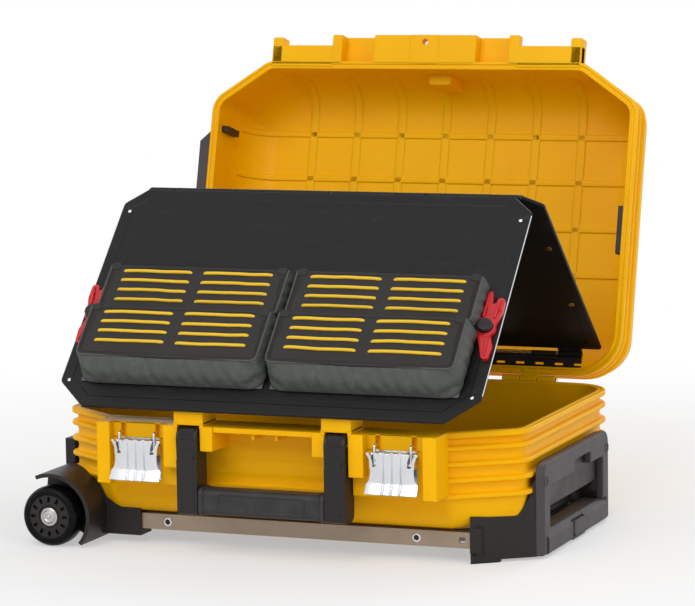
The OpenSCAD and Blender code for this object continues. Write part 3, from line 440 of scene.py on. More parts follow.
class Maker:
    """Collects the bodies of one piece, in metres, each drawn through a placing matrix."""

    def __init__(self, place=None):
        self.bm = bmesh.new()
        self.place = place or Matrix.Identity(4)

    def add(self, part, soft=0.0, steps=2, angle=30):
        """Softens a part's sharp edges, places it and takes it in."""
        if soft:
            sharp = [e for e in part.edges if len(e.link_faces) == 2
                     and e.calc_face_angle(0) > math.radians(angle)]
            bmesh.ops.bevel(part, geom=sharp, offset=soft, segments=steps, profile=0.5,
                            affect="EDGES", clamp_overlap=True)
        bmesh.ops.transform(part, matrix=self.place, verts=part.verts)
        if self.place.determinant() < 0:
            bmesh.ops.reverse_faces(part, faces=part.faces)
        mesh = bpy.data.meshes.new("part")
        part.to_mesh(mesh)
        part.free()
        self.bm.from_mesh(mesh)
        bpy.data.meshes.remove(mesh)

    def block(self, lo, hi, soft=0.001):
        """A box between two corners."""
        part = bmesh.new()
        bmesh.ops.create_cube(part, size=1)
        for vert in part.verts:
            vert.co = Vector((a if c < 0 else b) for c, a, b in zip(vert.co, lo, hi))
        self.add(part, soft)

    def prism(self, points, along, lo, hi, soft=0.001, steps=2, angle=30):
        """Extrudes a closed outline from lo to hi along one axis; its points give the other two."""
        order = {"x": lambda p, d: (d, p[0], p[1]), "y": lambda p, d: (p[0], d, p[1]),
                 "z": lambda p, d: (p[0], p[1], d)}[along]
        part = bmesh.new()
        low = [part.verts.new(order(p, lo)) for p in points]
        high = [part.verts.new(order(p, hi)) for p in points]
        part.faces.new(low)
        part.faces.new(high)
        for i in range(len(points)):
            j = (i + 1) % len(points)
            part.faces.new((low[i], low[j], high[j], high[i]))
        bmesh.ops.recalc_face_normals(part, faces=part.faces)
        self.add(part, soft, steps, angle)

    def slotted(self, outline, slot, lo, hi, soft):
        """A flat plate along z with a hole through it."""
        part = bmesh.new()
        edges = []
        for loop in (outline, slot):
            verts = [part.verts.new((p[0], p[1], lo)) for p in loop]
            edges += [part.edges.new((verts[i - 1], verts[i])) for i in range(len(verts))]
        face = bmesh.ops.triangle_fill(part, edges=edges, use_beauty=True)["geom"]
        faces = [f for f in face if isinstance(f, bmesh.types.BMFace)]
        grown = bmesh.ops.extrude_face_region(part, geom=faces, use_keep_orig=True)["geom"]
        for vert in (v for v in grown if isinstance(v, bmesh.types.BMVert)):
            vert.co.z = hi
        bmesh.ops.recalc_face_normals(part, faces=part.faces)
        self.add(part, soft, 2, 50)

    def loft(self, rings, capped=True):
        """Skins rings of points, each with the same count."""
        part = bmesh.new()
        rows = [[part.verts.new(p) for p in ring] for ring in rings]
        count = len(rings[0])
        for lower, upper in zip(rows, rows[1:]):
            for i in range(count):
                j = (i + 1) % count
                part.faces.new((lower[i], lower[j], upper[j], upper[i]))
        if capped:
            part.faces.new(rows[0])
            part.faces.new(rows[-1])
        bmesh.ops.recalc_face_normals(part, faces=part.faces)
        self.add(part)

    def turned(self, profile, centre, axis="x", count=48):
        """A closed profile of (distance along the axis, radius), turned about a line."""
        ways = {"x": lambda a, u, v: (a, u, v), "y": lambda a, u, v: (u, a, v),
                "z": lambda a, u, v: (u, v, a)}[axis]
        rings = []
        for i in range(count + 1):
            turn = math.tau * i / count
            rings.append([Vector(centre) + Vector(ways(a, r * math.cos(turn), r * math.sin(turn)))
                          for a, r in profile])
        part = bmesh.new()
        rows = [[part.verts.new(p) for p in ring] for ring in rings]
        for lower, upper in zip(rows, rows[1:]):
            for i in range(len(profile)):
                j = (i + 1) % len(profile)
                part.faces.new((lower[i], lower[j], upper[j], upper[i]))
        bmesh.ops.remove_doubles(part, verts=part.verts, dist=1e-7)
        bmesh.ops.dissolve_degenerate(part, edges=part.edges, dist=1e-7)
        bmesh.ops.recalc_face_normals(part, faces=part.faces)
        self.add(part)

    def rod(self, centre, axis, lo, hi, radius, soft=0.0004, count=32):
        """A round bar along an axis through centre, its ends eased by soft."""
        self.turned([(lo, 0), (lo, radius - soft), (lo + soft, radius),
                     (hi - soft, radius), (hi, radius - soft), (hi, 0)], centre, axis, count)

    def tube(self, path, radius, count=10):
        """A round wire along a path, with closed ends."""
        rings = []
        side = None
        for i, point in enumerate(path):
            ahead = (Vector(path[min(i + 1, len(path) - 1)]) - Vector(path[max(i - 1, 0)])).normalized()
            if side is None:
                side = ahead.orthogonal().normalized()
            side = (side - ahead * side.dot(ahead)).normalized()
            other = ahead.cross(side)
            rings.append([Vector(point) + radius * (side * math.cos(math.tau * k / count)
                                                    + other * math.sin(math.tau * k / count))
                          for k in range(count)])
        self.loft(rings)

    def piece(self, name, finish, body, *nodes, angle=38, weighted=True):
        """Makes the collected bodies one piece that rides on a body and stands for CAD nodes."""
        mesh = bpy.data.meshes.new(name)
        self.bm.to_mesh(mesh)
        self.bm.free()
        for face in mesh.polygons:
            face.use_smooth = True
        mesh.set_sharp_from_angle(angle=math.radians(angle))
        piece = linked(name, mesh)
        if weighted:
            piece.modifiers.new("even_light", "WEIGHTED_NORMAL").keep_sharp = True
            flatten(piece)
        return settle(piece, finish, body, *nodes)


def settle(piece, finish, body, *nodes):
    """Gives a piece its finish and its body, and hides the CAD nodes that it stands for."""
    give(piece, finish)
    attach(piece, body)
    if nodes:
        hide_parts(*nodes)
    return piece


def put_on(piece, panel):
    """Moves a piece's mesh to its panel and smooths it; a mirrored panel turns its faces back."""
    piece.data.transform(panel)
    if panel.determinant() < 0:
        piece.data.flip_normals()
    for face in piece.data.polygons:
        face.use_smooth = True


def placed_at(x, y, z, tilt=0.0):
    """From a part's own axes to the scene: turned about X, then moved from the case's middle."""
    return Matrix.Translation((CASE_X + x, MID_Y + y, z)) @ Matrix.Rotation(tilt, 4, "X")


def round_corner(a, b, c, radius, steps):
    """Points of an arc that rounds the corner at b."""
    a, b, c = Vector(a), Vector(b), Vector(c)
    u, w = (a - b).normalized(), (c - b).normalized()
    half = math.acos(max(-1, min(1, u.dot(w)))) / 2
    centre = b + (u + w).normalized() * radius / math.sin(half)
    start = b + u * radius / math.tan(half) - centre
    turn = (b - a).x * (c - b).y - (b - a).y * (c - b).x
    sweep = math.copysign(math.pi - 2 * half, turn)
    return [centre + Matrix.Rotation(sweep * i / steps, 2) @ start for i in range(steps + 1)]


def rounded(corners, steps=8):
    """An outline's points, its corners (x, y, radius) rounded."""
    count = len(corners)
    points = []
    for i, (x, y, radius) in enumerate(corners):
        before, after = corners[i - 1], corners[(i + 1) % count]
        points += round_corner(before[:2], (x, y), after[:2], radius, steps)
    return points


# ---------- ribbed shells ----------

CUT = math.atan2(CORNER_D, CORNER_W)
OUTLINE_STEPS = 10               # points on each rounded corner, less one
FRONT_FROM = 3 * (OUTLINE_STEPS + 1)     # the outline's points before the front edge's marks
PILASTER_X = 0.167
PILASTER_W = 0.015
PILASTER_Z = 0.070
BREAK_X = PILASTER_X + 0.009     # where the upper ribs end, inside a pilaster


def case_outline(inset):
    """The case seen from above, drawn in by inset; two points on the front edge mark each rib's end."""
    x1 = HALF_W - inset
    x2 = HALF_W - CORNER_W - inset * math.tan(CUT / 2)
    y1 = -HALF_D + inset
    y2 = -HALF_D + CORNER_D + inset * math.tan((math.pi / 2 - CUT) / 2)
    y3 = HALF_D - inset
    front, rear = max(FRONT_R - inset, 0.003), max(REAR_R - inset, 0.003)
    left = rounded([(-x1, y3, rear), (-x1, y2, front), (-x2, y1, front),
                    (x2, y1, front), (x1, y2, front), (x1, y3, rear)], OUTLINE_STEPS)
    reach = min(BREAK_X, x2 - front * math.tan(CUT / 2) - 0.0006)
    marks = [Vector((x, y1)) for x in (-reach, 0.0005 - reach, reach - 0.0005, reach)]
    return left[:FRONT_FROM] + marks + left[FRONT_FROM:]


def rib(centre):
    """Inset and height of one rib's rounded section, from above to below."""
    section = [(0, 0.85), (0.1, 0.66), (0.55, 0.52), (0.85, 0.42), (1, 0.2),
               (1, -0.2), (0.85, -0.42), (0.55, -0.52), (0.1, -0.66), (0, -0.85)]
    return [(RIB_OUT - RIB_OUT * part, centre + RIB_T * rise) for part, rise in section]


def shell_ring(inset, z, break_ribs=False):
    """One level of a shell, without its ribs between the pilasters where break_ribs says so."""
    ring = []
    for point in case_outline(inset):
        y = point.y
        if break_ribs and inset < RIB_OUT and y < -HALF_D + 0.008 and abs(point.x) < BREAK_X - 0.0002:
            y = -HALF_D + RIB_OUT
        ring.append((point.x, y, z))
    return ring


def base_shell():
    """Tub: rounded ribs, turned-in sole, gasket ridge on the rim, then its inside down to the floor."""
    sole = 0.032
    lean = 0.0008
    floor = sole + WALL
    outside = [(0.090, sole), (0.040, sole), (0.027, sole + 0.0006), (0.0195, sole + 0.0035),
               (0.0135, sole + 0.008), (0.0095, sole + 0.014), (0.0072, sole + 0.021),
               (0.0058, sole + 0.029)]
    for step in (4, 3, 2, 1):
        outside += reversed(rib(RIM_Z - step * RIB_PITCH))
        outside.append((RIB_OUT + lean, RIM_Z - (step - 0.5) * RIB_PITCH))
    rim = [(RIB_OUT, RIM_Z - 0.0075), (0.0045, RIM_Z - 0.0066), (0.0012, RIM_Z - 0.006), (0, RIM_Z - 0.005),
           (0, RIM_Z - 0.0009), (0.0009, RIM_Z), (0.0036, RIM_Z), (0.0040, RIM_Z - 0.0008),
           (0.0056, RIM_Z - 0.0008), (0.0060, RIM_Z), (0.0082, RIM_Z), (0.009, RIM_Z - 0.0008)]
    inside = [(0.009, 0.075), (0.0095, 0.060), (0.011, 0.050), (0.015, 0.041), (0.022, floor + 0.0015),
              (0.032, floor), (0.090, floor)]
    maker = Maker(placed_at(0, 0, 0))
    profile = outside + rim + inside
    maker.loft([shell_ring(inset, z, PILASTER_Z + 0.002 < z < RIM_Z - 0.0062) for inset, z in profile])
    front_of_base(maker)
    for side in (-1, 1):
        for end in (-1, 1):
            leaf(maker, side * HINGE_X + end * LEAF_STEP, True)
    maker.piece("base_tub", "case_yellow", "base", "base_shell")


LEDGE_Y = -0.205
WALL_Y = -0.1655
LATCH_Y = -0.192
ARM_IN = 0.068
ARM_OUT = 0.090


def front_of_base(maker):
    """Ledge, pilasters, latch walls, wings beside the handle's arms and the blocks over them."""
    back = WALL_Y + 0.002
    under = RIM_Z - 0.006
    clear = -HALF_D - 0.0006     # as far back as anything above the rim may reach
    maker.block((-ARM_IN + 0.001, LEDGE_Y + 0.003, under), (ARM_IN - 0.001, back, RIM_Z - 0.0004))
    for side in (-1, 1):
        def wide(x0, x1):
            return (x0, x1) if side > 0 else (-x1, -x0)

        def put(x0, y0, z0, x1, y1, z1, soft=0.0012):
            a, b = wide(x0, x1)
            maker.block((a, y0, z0), (b, y1, z1), soft)

        put(PILASTER_X, LEDGE_Y + 0.003, PILASTER_Z, PILASTER_X + PILASTER_W, back, RIM_Z, 0.0016)
        put(PILASTER_X - 0.001, LATCH_Y + 0.008, PILASTER_Z + 0.02, PILASTER_X + 0.001, back, RIM_Z - 0.001)
        # the latch wall, with a slot for each wire's hook
        low, high = RIM_Z - 0.0152, RIM_Z - 0.0022
        edges = [ARM_OUT + 0.001]
        for centre in (LATCH_X - HOOK_HALF, LATCH_X + HOOK_HALF):
            edges += [centre - 0.0026, centre + 0.0026]
        edges.append(PILASTER_X + 0.001)
        put(edges[0], LATCH_Y, PILASTER_Z, edges[-1], back, low, 0.0006)
        put(edges[0], LATCH_Y, high, edges[-1], back, RIM_Z - 0.0004, 0.0006)
        put(edges[0], LATCH_Y + 0.006, low - 0.001, edges[-1], back, high + 0.001, 0)
        for x0, x1 in (edges[0:2], edges[2:4], edges[4:6]):
            put(x0, LATCH_Y, low - 0.0012, x1, back, high + 0.0012, 0.0)
        # wings
        put(ARM_OUT + 0.001, LEDGE_Y, RIM_Z - 0.043, ARM_OUT + 0.017, back, RIM_Z, 0.0014)
        put(ARM_IN - 0.015, LEDGE_Y, RIM_Z - 0.025, ARM_IN - 0.001, back, RIM_Z, 0.0014)
        # block over the arm
        put(ARM_IN - 0.005, LEDGE_Y, RIM_Z + 0.0005, ARM_OUT + 0.005, clear, RIM_Z + 0.015, 0.0016)
        put(ARM_IN - 0.005, LEDGE_Y, RIM_Z - 0.003, ARM_IN - 0.001, clear, RIM_Z + 0.004, 0.0006)
        put(ARM_OUT + 0.001, LEDGE_Y, RIM_Z - 0.003, ARM_OUT + 0.005, clear, RIM_Z + 0.004, 0.0006)
        put(ARM_IN - 0.001, -0.185, RIM_Z - 0.006, ARM_OUT + 0.001, clear, RIM_Z + 0.002, 0.0006)
        # a small rib under the ledge
        put(0.011, LEDGE_Y + 0.008, RIM_Z - 0.012, 0.014, back, under + 0.001, 0.0005)


LATCH_X = 0.137
HOOK_HALF = 0.019
BARREL_R = 0.005
HINGE_X = 0.150
LEAF_STEP = 0.020
LEAF_HALF = 0.0095


def leaf(maker, x, base):
    """One hinge knuckle with the web that joins it to its shell, in that shell's own axes."""
    if base:
        y, z, way = LID_HINGE.y - MID_Y, RIM_Z, -1
    else:
        y, z, way = 0, 0, 1
    maker.rod((0, y, z), "x", x - LEAF_HALF, x + LEAF_HALF, BARREL_R)
    low, high = sorted((z + way * 0.0004, z + way * 2.4 * BARREL_R))
    maker.block((x - LEAF_HALF, y - BARREL_R - 0.0075, low), (x + LEAF_HALF, y - 0.0008, high))


# ---------- lid ----------

FAR = -(HALF_D * 2 + 0.006)      # the lid's front edge, from its hinge, with the lid shut
IN_LID = placed_at(0, LID_HINGE.y - MID_Y, RIM_Z, -LID_OPEN)


def dome(depth, start, end_inset, end_z):
    """Inset and height along the lid's turned-in dome, from its straight wall to its roof."""
    points, steps = [], 9
    for i in range(steps + 1):
        turn = math.pi / 2 * i / steps
        points.append((depth + (end_inset - depth) * (1 - math.cos(turn)) ** 1.15,
                       start + (end_z - start) * math.sin(turn) ** 0.95))
    return points


def lid_shell():
    """Lid: ribbed wall, domed roof, grooved rim, flange, inner bands and hinge knuckles."""
    outer = dome(RIB_OUT, 0.043, 0.044, LID_H)
    inner = dome(RIB_OUT + WALL, 0.042, 0.046, LID_H - WALL)
    outside = [(0.090, LID_H)] + outer[::-1]
    for step in (2, 1):
        outside += rib(step * RIB_PITCH)
        if step == 2:
            outside.append((RIB_OUT + 0.0008, 1.5 * RIB_PITCH))
    rim = [(RIB_OUT, 0.0078), (0.0045, 0.0068), (0.0012, 0.006), (0, 0.005), (0, 0.0012), (0.0009, 0.0003),
           (0.0032, 0.0003), (0.0036, 0.0014), (0.0062, 0.0014), (0.0066, 0.0003), (0.0082, 0.0003),
           (0.009, 0.0012)]
    profile = outside + rim + inner + [(0.090, LID_H - WALL)]
    maker = Maker(IN_LID)
    shift = LID_HINGE.y - MID_Y
    maker.loft([[(x, y - shift, t) for x, y, t in shell_ring(inset, z)] for inset, z in profile])
    lid_flange(maker)
    lid_bands(maker, inner)
    for side in (-1, 1):
        leaf(maker, side * HINGE_X, False)
    x, y, t = 0.010, FAR + 0.0085, 0.030
    maker.block((x - 0.013, y, t), (x + 0.013, y + 0.012, t + 0.044), 0.002)
    maker.piece("lid_dome", "case_yellow", "lid", "lid_shell")


def lid_flange(maker):
    """Flange over the base's ledge, stepped round the receiver blocks, with its padlock eye."""
    gap, thick, out = 0.0003, 0.012, 0.030
    hole, recess_in, recess_out = 0.0035, 0.060, 0.098
    eye_y = FAR - 0.022
    end = PILASTER_X + PILASTER_W
    for side in (-1, 1):
        def put(x0, y0, t0, x1, y1, t1, soft=0.0012):
            a, b = (x0, x1) if side > 0 else (-x1, -x0)
            maker.block((a, y0, t0), (b, y1, t1), soft)

        # two strips beside the eye, then the outer strip
        put(0.016, FAR - out, gap, recess_in, FAR + 0.003, thick)
        put(recess_out, FAR - out, gap, 0.110, FAR + 0.003, thick)
        put(0.108, FAR - out + 0.012, gap, end, FAR + 0.006, thick)
        put(PILASTER_X + 0.002, FAR - out + 0.003, gap, end, FAR + 0.002, thick + 0.006, 0.0016)
        # cover over a receiver block
        put(ARM_IN - 0.012, FAR - out, 0.016, ARM_OUT + 0.012, FAR + 0.004, 0.020)
        put(ARM_IN - 0.012, FAR - out, thick - 0.002, recess_in, FAR + 0.002, 0.0195, 0.0008)
        put(recess_out, FAR - out, thick - 0.002, ARM_OUT + 0.012, FAR + 0.002, 0.0195, 0.0008)
        # raised collar either side of the eye
        put(0.014, FAR - out + 0.0005, thick - 0.001, 0.030, FAR - 0.004, thick + 0.0025)
    # the eye's own plate: a ring of points round the hole, inside a rectangle
    around = 24
    inner = [Vector((hole * math.cos(math.tau * i / around), eye_y + hole * math.sin(math.tau * i / around)))
             for i in range(around)]
    half_x, y0, y1 = 0.0168, FAR - out, FAR + 0.003
    outer = []
    for i in range(around):
        way = Vector((math.cos(math.tau * i / around), math.sin(math.tau * i / around)))
        reach = min(half_x / max(abs(way.x), 1e-6),
                    ((y1 - eye_y) if way.y > 0 else (eye_y - y0)) / max(abs(way.y), 1e-6))
        outer.append(Vector((0, eye_y)) + way * reach)
    for corner in ((half_x, y0), (half_x, y1), (-half_x, y0), (-half_x, y1)):
        nearest = min(range(around), key=lambda k: (outer[k] - Vector(corner)).length)
        outer[nearest] = Vector(corner)
    top, low = thick, gap
    rings = [[(p.x, p.y, z) for p in ring] for ring, z in
             ((inner, low), (outer, low), (outer, top), (inner, top), (inner, low))]
    maker.loft(rings, capped=False)


def lid_bands(maker, inner):
    """Low bands on the inside of the lid, up the far wall, over the roof and down to the hinges."""
    rise, half = 0.0016, 0.0045
    for i in range(-3, 4):
        x = i * 0.0535
        path = [(FAR + inset, t) for inset, t in inner[1:]]
        path += [(-0.006 - inset, t) for inset, t in inner[:0:-1]]
        band(maker, [(x, y, t) for y, t in path], (half, 0, 0), rise)
    for s in (0.127, 0.178, 0.230, 0.281):
        path = [(-HALF_W + inset, t) for inset, t in inner[2:]]
        path += [(HALF_W - inset, t) for inset, t in inner[:1:-1]]
        band(maker, [(x, -s, t) for x, t in path], (0, half * 0.7, 0), rise)


def band(maker, path, half, rise):
    """A low rounded band along a path on the inside of the lid, standing towards its middle."""
    half = Vector(half)
    middle = Vector((0, FAR / 2, -0.06)) if half.x else Vector((0, path[0][1], -0.10))
    rings = []
    for i, point in enumerate(path):
        point = Vector(point)
        ahead = (Vector(path[min(i + 1, len(path) - 1)]) - Vector(path[max(i - 1, 0)])).normalized()
        up = half.cross(ahead).normalized()
        if up.dot(Vector((point.x if half.x else middle.x, middle.y, middle.z)) - point) < 0:
            up = -up
        rings.append([point - half * 1.2 - up * 0.001, point - half + up * rise * 0.7,
                      point - half * 0.8 + up * rise, point + half * 0.8 + up * rise,
                      point + half + up * rise * 0.7, point + half * 1.2 - up * 0.001])
    maker.loft(rings)


base_shell()
lid_shell()

# ---------- tool panels ----------

APEX = Vector(JOINTS["panel_apex"]["pos_m"])
REAR = Vector(JOINTS["panel_fold"]["pos_m"])
PANEL_LEN = 0.282
PANEL_HALF = 0.225
BOARD_IN = 0.0035
BOARD_T = 0.004
PLATE_H = 0.062
UPPER_HIGH = 0.057
POCKET_X = 0.103
POCKET_HALF = 0.100
ROW_PITCH = 0.012
ROWS = 4
CORD_LENGTH = 0.0780
CORD_GAP = 0.0055                # from a pocket's middle to the end of a cord
CLOTH_T = 0.0013
FRONT_SLOPE = math.radians(46)
REAR_SLOPE = math.radians(42)

# Panel axes: x across, y up from the free edge (front) or from the hinge (rear), z out of the board
ON_FRONT = (Matrix.Translation(APEX) @ Matrix.Rotation(FRONT_SLOPE, 4, "X")
            @ Matrix.Translation((0, -PANEL_LEN, BOARD_IN + BOARD_T)))
ON_REAR = (Matrix.Translation(REAR) @ Matrix.Rotation(-REAR_SLOPE, 4, "X")
           @ Matrix.Diagonal((1, -1, 1, 1)) @ Matrix.Translation((0, 0, BOARD_IN + BOARD_T)))

# Each row of pockets: name, panel, body, distance of its low edge, height, depth, how far its foot reaches
POCKET_ROWS = (
    ("lower", ON_FRONT, "front_panel", 0.040, PLATE_H, 0.030, 0.013),
    ("upper", ON_FRONT, "front_panel", 0.104, UPPER_HIGH, 0.020, 0.0),
    ("rear", ON_REAR, "rear_panel", 0.070, UPPER_HIGH, 0.020, 0.006),
)


def u_path(half, high, low, radius, count=88):
    """Evenly spaced points down one side of a pocket, round its bottom and up the other side."""
    corners = [(-half, high)]
    corners += round_corner((-half, high), (-half, low), (half, low), radius, 10)
    corners += round_corner((-half, low), (half, low), (half, high), radius, 10)
    corners.append((half, high))
    points = [Vector(p) for p in corners]
    lengths = [0.0]
    for a, b in zip(points, points[1:]):
        lengths.append(lengths[-1] + (b - a).length)
    path, leg = [], 0
    for i in range(count):
        goal = lengths[-1] * i / (count - 1)
        while leg < len(points) - 2 and lengths[leg + 1] < goal:
            leg += 1
        part = (goal - lengths[leg]) / max(lengths[leg + 1] - lengths[leg], 1e-9)
        path.append(points[leg].lerp(points[leg + 1], part))
    return path


SWELL_FRAMES = 18
SWELL_LIMIT = 0.0032             # how far any point of the cloth may move


def swell(piece, pinned):
    """Lets a pocket's cloth swell between its stitched edges, then keeps the shape it takes."""
    group = piece.vertex_groups.new(name="stitched")
    group.add(pinned, 1.0, "REPLACE")
    cloth = piece.modifiers.new("cloth", "CLOTH")
    cloth.settings.quality = 6
    cloth.settings.mass = 0.3
    cloth.settings.tension_stiffness = 25
    cloth.settings.bending_stiffness = 0.6
    cloth.settings.shrink_min = -0.045
    cloth.settings.vertex_group_mass = group.name
    cloth.settings.use_pressure = True
    cloth.settings.uniform_pressure_force = 1.6
    cloth.settings.effector_weights.gravity = 0
    cloth.point_cache.frame_end = SWELL_FRAMES
    for moment in range(1, SWELL_FRAMES + 1):
        bpy.context.scene.frame_set(moment)
    before = [v.co.copy() for v in piece.data.vertices]
    flatten(piece)
    bpy.context.scene.frame_set(1)
    for vert, start in zip(piece.data.vertices, before):
        move = vert.co - start
        if move.length > SWELL_LIMIT:
            vert.co = start + move.normalized() * SWELL_LIMIT
    piece.vertex_groups.clear()


def pocket_cloth(name, panel, body, node, x, low, high, depth, foot):
    """A pocket's gusset and bottom: one strip of cloth from the board out to the plate's edge."""
    steps = 9
    ground = u_path(POCKET_HALF - 0.0004, high, -foot + 0.0006, 0.013)
    rim = u_path(POCKET_HALF - 0.0022, high, 0.0018, 0.005)
    verts, faces = [], []
    count = len(ground)
    for k in range(steps):
        v = k / (steps - 1)
        bulge = 0.0016 * math.sin(math.pi * v)
        for i, (a, b) in enumerate(zip(ground, rim)):
            away = Vector((a.x / POCKET_HALF, -1 if 20 < i < count - 20 else 0)).normalized()
            wrinkle = 0.0006 * math.sin(i * 1.7 + 3 * v) * math.sin(math.pi * v)
            flat = a.lerp(b, v) + away * (bulge + wrinkle)
            verts.append((x + flat.x, low + flat.y, 0.0005 + (depth - 0.0008) * v))
    for k in range(steps - 1):
        for i in range(count - 1):
            a = k * count + i
            faces.append((a, a + 1, a + count + 1, a + count))
    mesh = bpy.data.meshes.new(name)
    mesh.from_pydata(verts, [], faces)
    length = sum((b - a).length for a, b in zip(ground, ground[1:]))
    piece = linked(name, mesh)
    swell(piece, list(range(count)) + list(range((steps - 1) * count, steps * count)))
    thick = piece.modifiers.new("cloth_wall", "SOLIDIFY")
    thick.thickness = CLOTH_T
    thick.offset = 0
    smooth = piece.modifiers.new("smooth", "SUBSURF")
    smooth.levels = smooth.render_levels = 1
    flatten(piece)
    put_on(piece, panel)
    settle(piece, "pocket_cloth", body, node)
    # the back of the pocket, the binding round the plate and the hems of its mouth
    maker = Maker()
    maker.block((x - POCKET_HALF + 0.001, low - foot + 0.002, 0.0001),
                (x + POCKET_HALF - 0.001, low + high - 0.001, 0.0011), 0.0004)
    bind = [(x + p.x, low + p.y, depth + 0.0002)
            for p in u_path(POCKET_HALF - 0.0020, high - 0.001, 0.0016, 0.005, 60)]
    maker.tube(bind, 0.0011, 8)
    for side in (-1, 1):
        hem = [(x + side * (POCKET_HALF - 0.0008), low + high, 0.0012),
               (x + side * (POCKET_HALF - 0.0010), low + high, depth * 0.45),
               (x + side * (POCKET_HALF - 0.0014), low + high, depth * 0.85),
               (x + side * (POCKET_HALF - 0.0020), low + high - 0.0005, depth)]
        maker.tube(hem, 0.0010, 8)
    bmesh.ops.transform(maker.bm, matrix=panel, verts=maker.bm.verts)
    bmesh.ops.recalc_face_normals(maker.bm, faces=maker.bm.faces)
    binding_and_highlight_strip = maker.piece(name.replace("gusset", "binding"), "pocket_cloth", body, angle=60, weighted=False)


def pocket_plate(name, panel, body, node, x, low, high, depth):
    """The stiff plate at the front of a pocket, with a bead along its edge and a lip at its mouth."""
    half, edge = POCKET_HALF - 0.0026, 0.0018
    base, top = depth - 0.0026, depth + 0.0006
    mouth = low + high
    outline = rounded([(x - half, mouth - 0.0004, 0.002), (x - half, low + edge, 0.004),
                       (x, low + edge - 0.0014, 0.1), (x + half, low + edge, 0.004),
                       (x + half, mouth - 0.0004, 0.002)], 6)
    maker = Maker(panel)
    maker.prism(outline, "z", base, top, 0.0008)
    bead = [(x + p.x, low + p.y, top) for p in u_path(half - 0.0035, high - 0.002, edge + 0.0035, 0.004, 60)]
    maker.tube(bead, 0.0007, 8)
    rim = [(x + p.x, low + p.y - 0.0014 * math.cos(p.x / half * math.pi / 2) * (p.y < edge + 0.003), top)
           for p in u_path(half - 0.0009, high - 0.001, edge + 0.0009, 0.0035, 80)]
    maker.tube(rim, 0.0010, 8)
    for side in (-1, 1):
        corner = x + side * (half - 0.0055)
        maker.block((corner - 0.0045, mouth - 0.006, top - 0.001),
                    (corner + 0.0045, mouth + 0.0022, top + 0.0013), 0.0009)
        maker.block((corner - 0.0009, mouth - 0.030, top - 0.001),
                    (corner + 0.0009, mouth - 0.010, top + 0.0007), 0.0006)
    maker.block((x - half + 0.002, mouth - 0.003, top - 0.001),
                (x + half - 0.002, mouth - 0.0005, top + 0.0009), 0.0006)
    maker.piece(name, "frame_black", body, node)


class Pattern:
    """A Geometry Nodes tree that puts a shape on each of its points; its sizes are named inputs."""

    def __init__(self, name, **sizes):
        self.tree = bpy.data.node_groups.new(name, "GeometryNodeTree")
        face = self.tree.interface
        face.new_socket("Geometry", in_out="INPUT", socket_type="NodeSocketGeometry")
        for size, value in sizes.items():
            face.new_socket(size, in_out="INPUT", socket_type="NodeSocketFloat").default_value = value
        face.new_socket("Finish", in_out="INPUT", socket_type="NodeSocketMaterial")
        face.new_socket("Geometry", in_out="OUTPUT", socket_type="NodeSocketGeometry")
        self.inputs = self.tree.nodes.new("NodeGroupInput").outputs

    def given(self, name):
        """One of the tree's own inputs."""
        return Value(self.tree, self.inputs[name])

    def add(self, kind, settings=None, out=0, **sockets):
        """Adds a node: its settings first, then its sockets by name, with _ for a space."""
        node = self.tree.nodes.new(kind)
        for key, value in (settings or {}).items():
            setattr(node, key, value)
        for key, value in sockets.items():
            socket = next(s for s in node.inputs if s.name == key.replace("_", " ") and s.enabled)
            Tree.feed(self.tree, socket, value)
        return Value(self.tree, node.outputs[out])

    def finish(self, shape):
        """Paints the shape and makes it what the tree gives."""
        painted = self.add("GeometryNodeSetMaterial", Geometry=shape, Material=self.given("Finish"))
        self.tree.links.new(painted.socket, self.tree.nodes.new("NodeGroupOutput").inputs[0])
        return self.tree


def on_points(name, places, tree, sizes, panel, finish, body, *nodes):
    """Makes one piece by running a pattern over a list of points, and sets it on its panel."""
    mesh = bpy.data.meshes.new(name)
    mesh.from_pydata(places, [], [])
    piece = linked(name, mesh)
    run = piece.modifiers.new("pattern", "NODES")
    run.node_group = tree
    ids = {item.name: item.identifier for item in tree.interface.items_tree if item.in_out == "INPUT"}
    for size, value in sizes.items():
        run[ids[size]] = value
    run[ids["Finish"]] = FINISH[finish]
    flatten(piece)
    put_on(piece, panel)
    settle(piece, finish, body, *nodes)


def cord_tree():
    """Elastic cords, one on each point: their ends dip into the plate and they run a little slack."""
    tree = Pattern("elastic_rows", Length=CORD_LENGTH, Radius=0.0017, Dip=0.0032, Slack=0.0007)
    half = tree.given("Length") * 0.5
    line = tree.add("GeometryNodeCurvePrimitiveLine", Start=tree.add("ShaderNodeCombineXYZ", X=half * -1.0),
                    End=tree.add("ShaderNodeCombineXYZ", X=half))
    fine = tree.add("GeometryNodeResampleCurve", Curve=line, Count=25)
    # placed on the points first, so that each cord's slack differs
    cords = tree.add("GeometryNodeInstanceOnPoints", Points=tree.given("Geometry"), Instance=fine)
    real = tree.add("GeometryNodeRealizeInstances", Geometry=cords)
    share = tree.add("GeometryNodeSplineParameter", out="Factor")
    sink = abs(share * 2.0 - 1.0) ** 26.0 * tree.given("Dip") * -1.0
    wander = tree.add("ShaderNodeTexNoise", {"noise_dimensions": "3D"}, Scale=26.0, Detail=1.0)
    sway = (wander - 0.5) * (tree.given("Slack") * 4.0)
    moved = tree.add("GeometryNodeSetPosition", Geometry=real,
                     Offset=tree.add("ShaderNodeCombineXYZ", Y=sway, Z=sink))
    ring = tree.add("GeometryNodeCurvePrimitiveCircle", Resolution=10, Radius=tree.given("Radius"))
    skin = tree.add("GeometryNodeCurveToMesh", Curve=moved, Profile_Curve=ring, Fill_Caps=True)
    return tree.finish(skin)


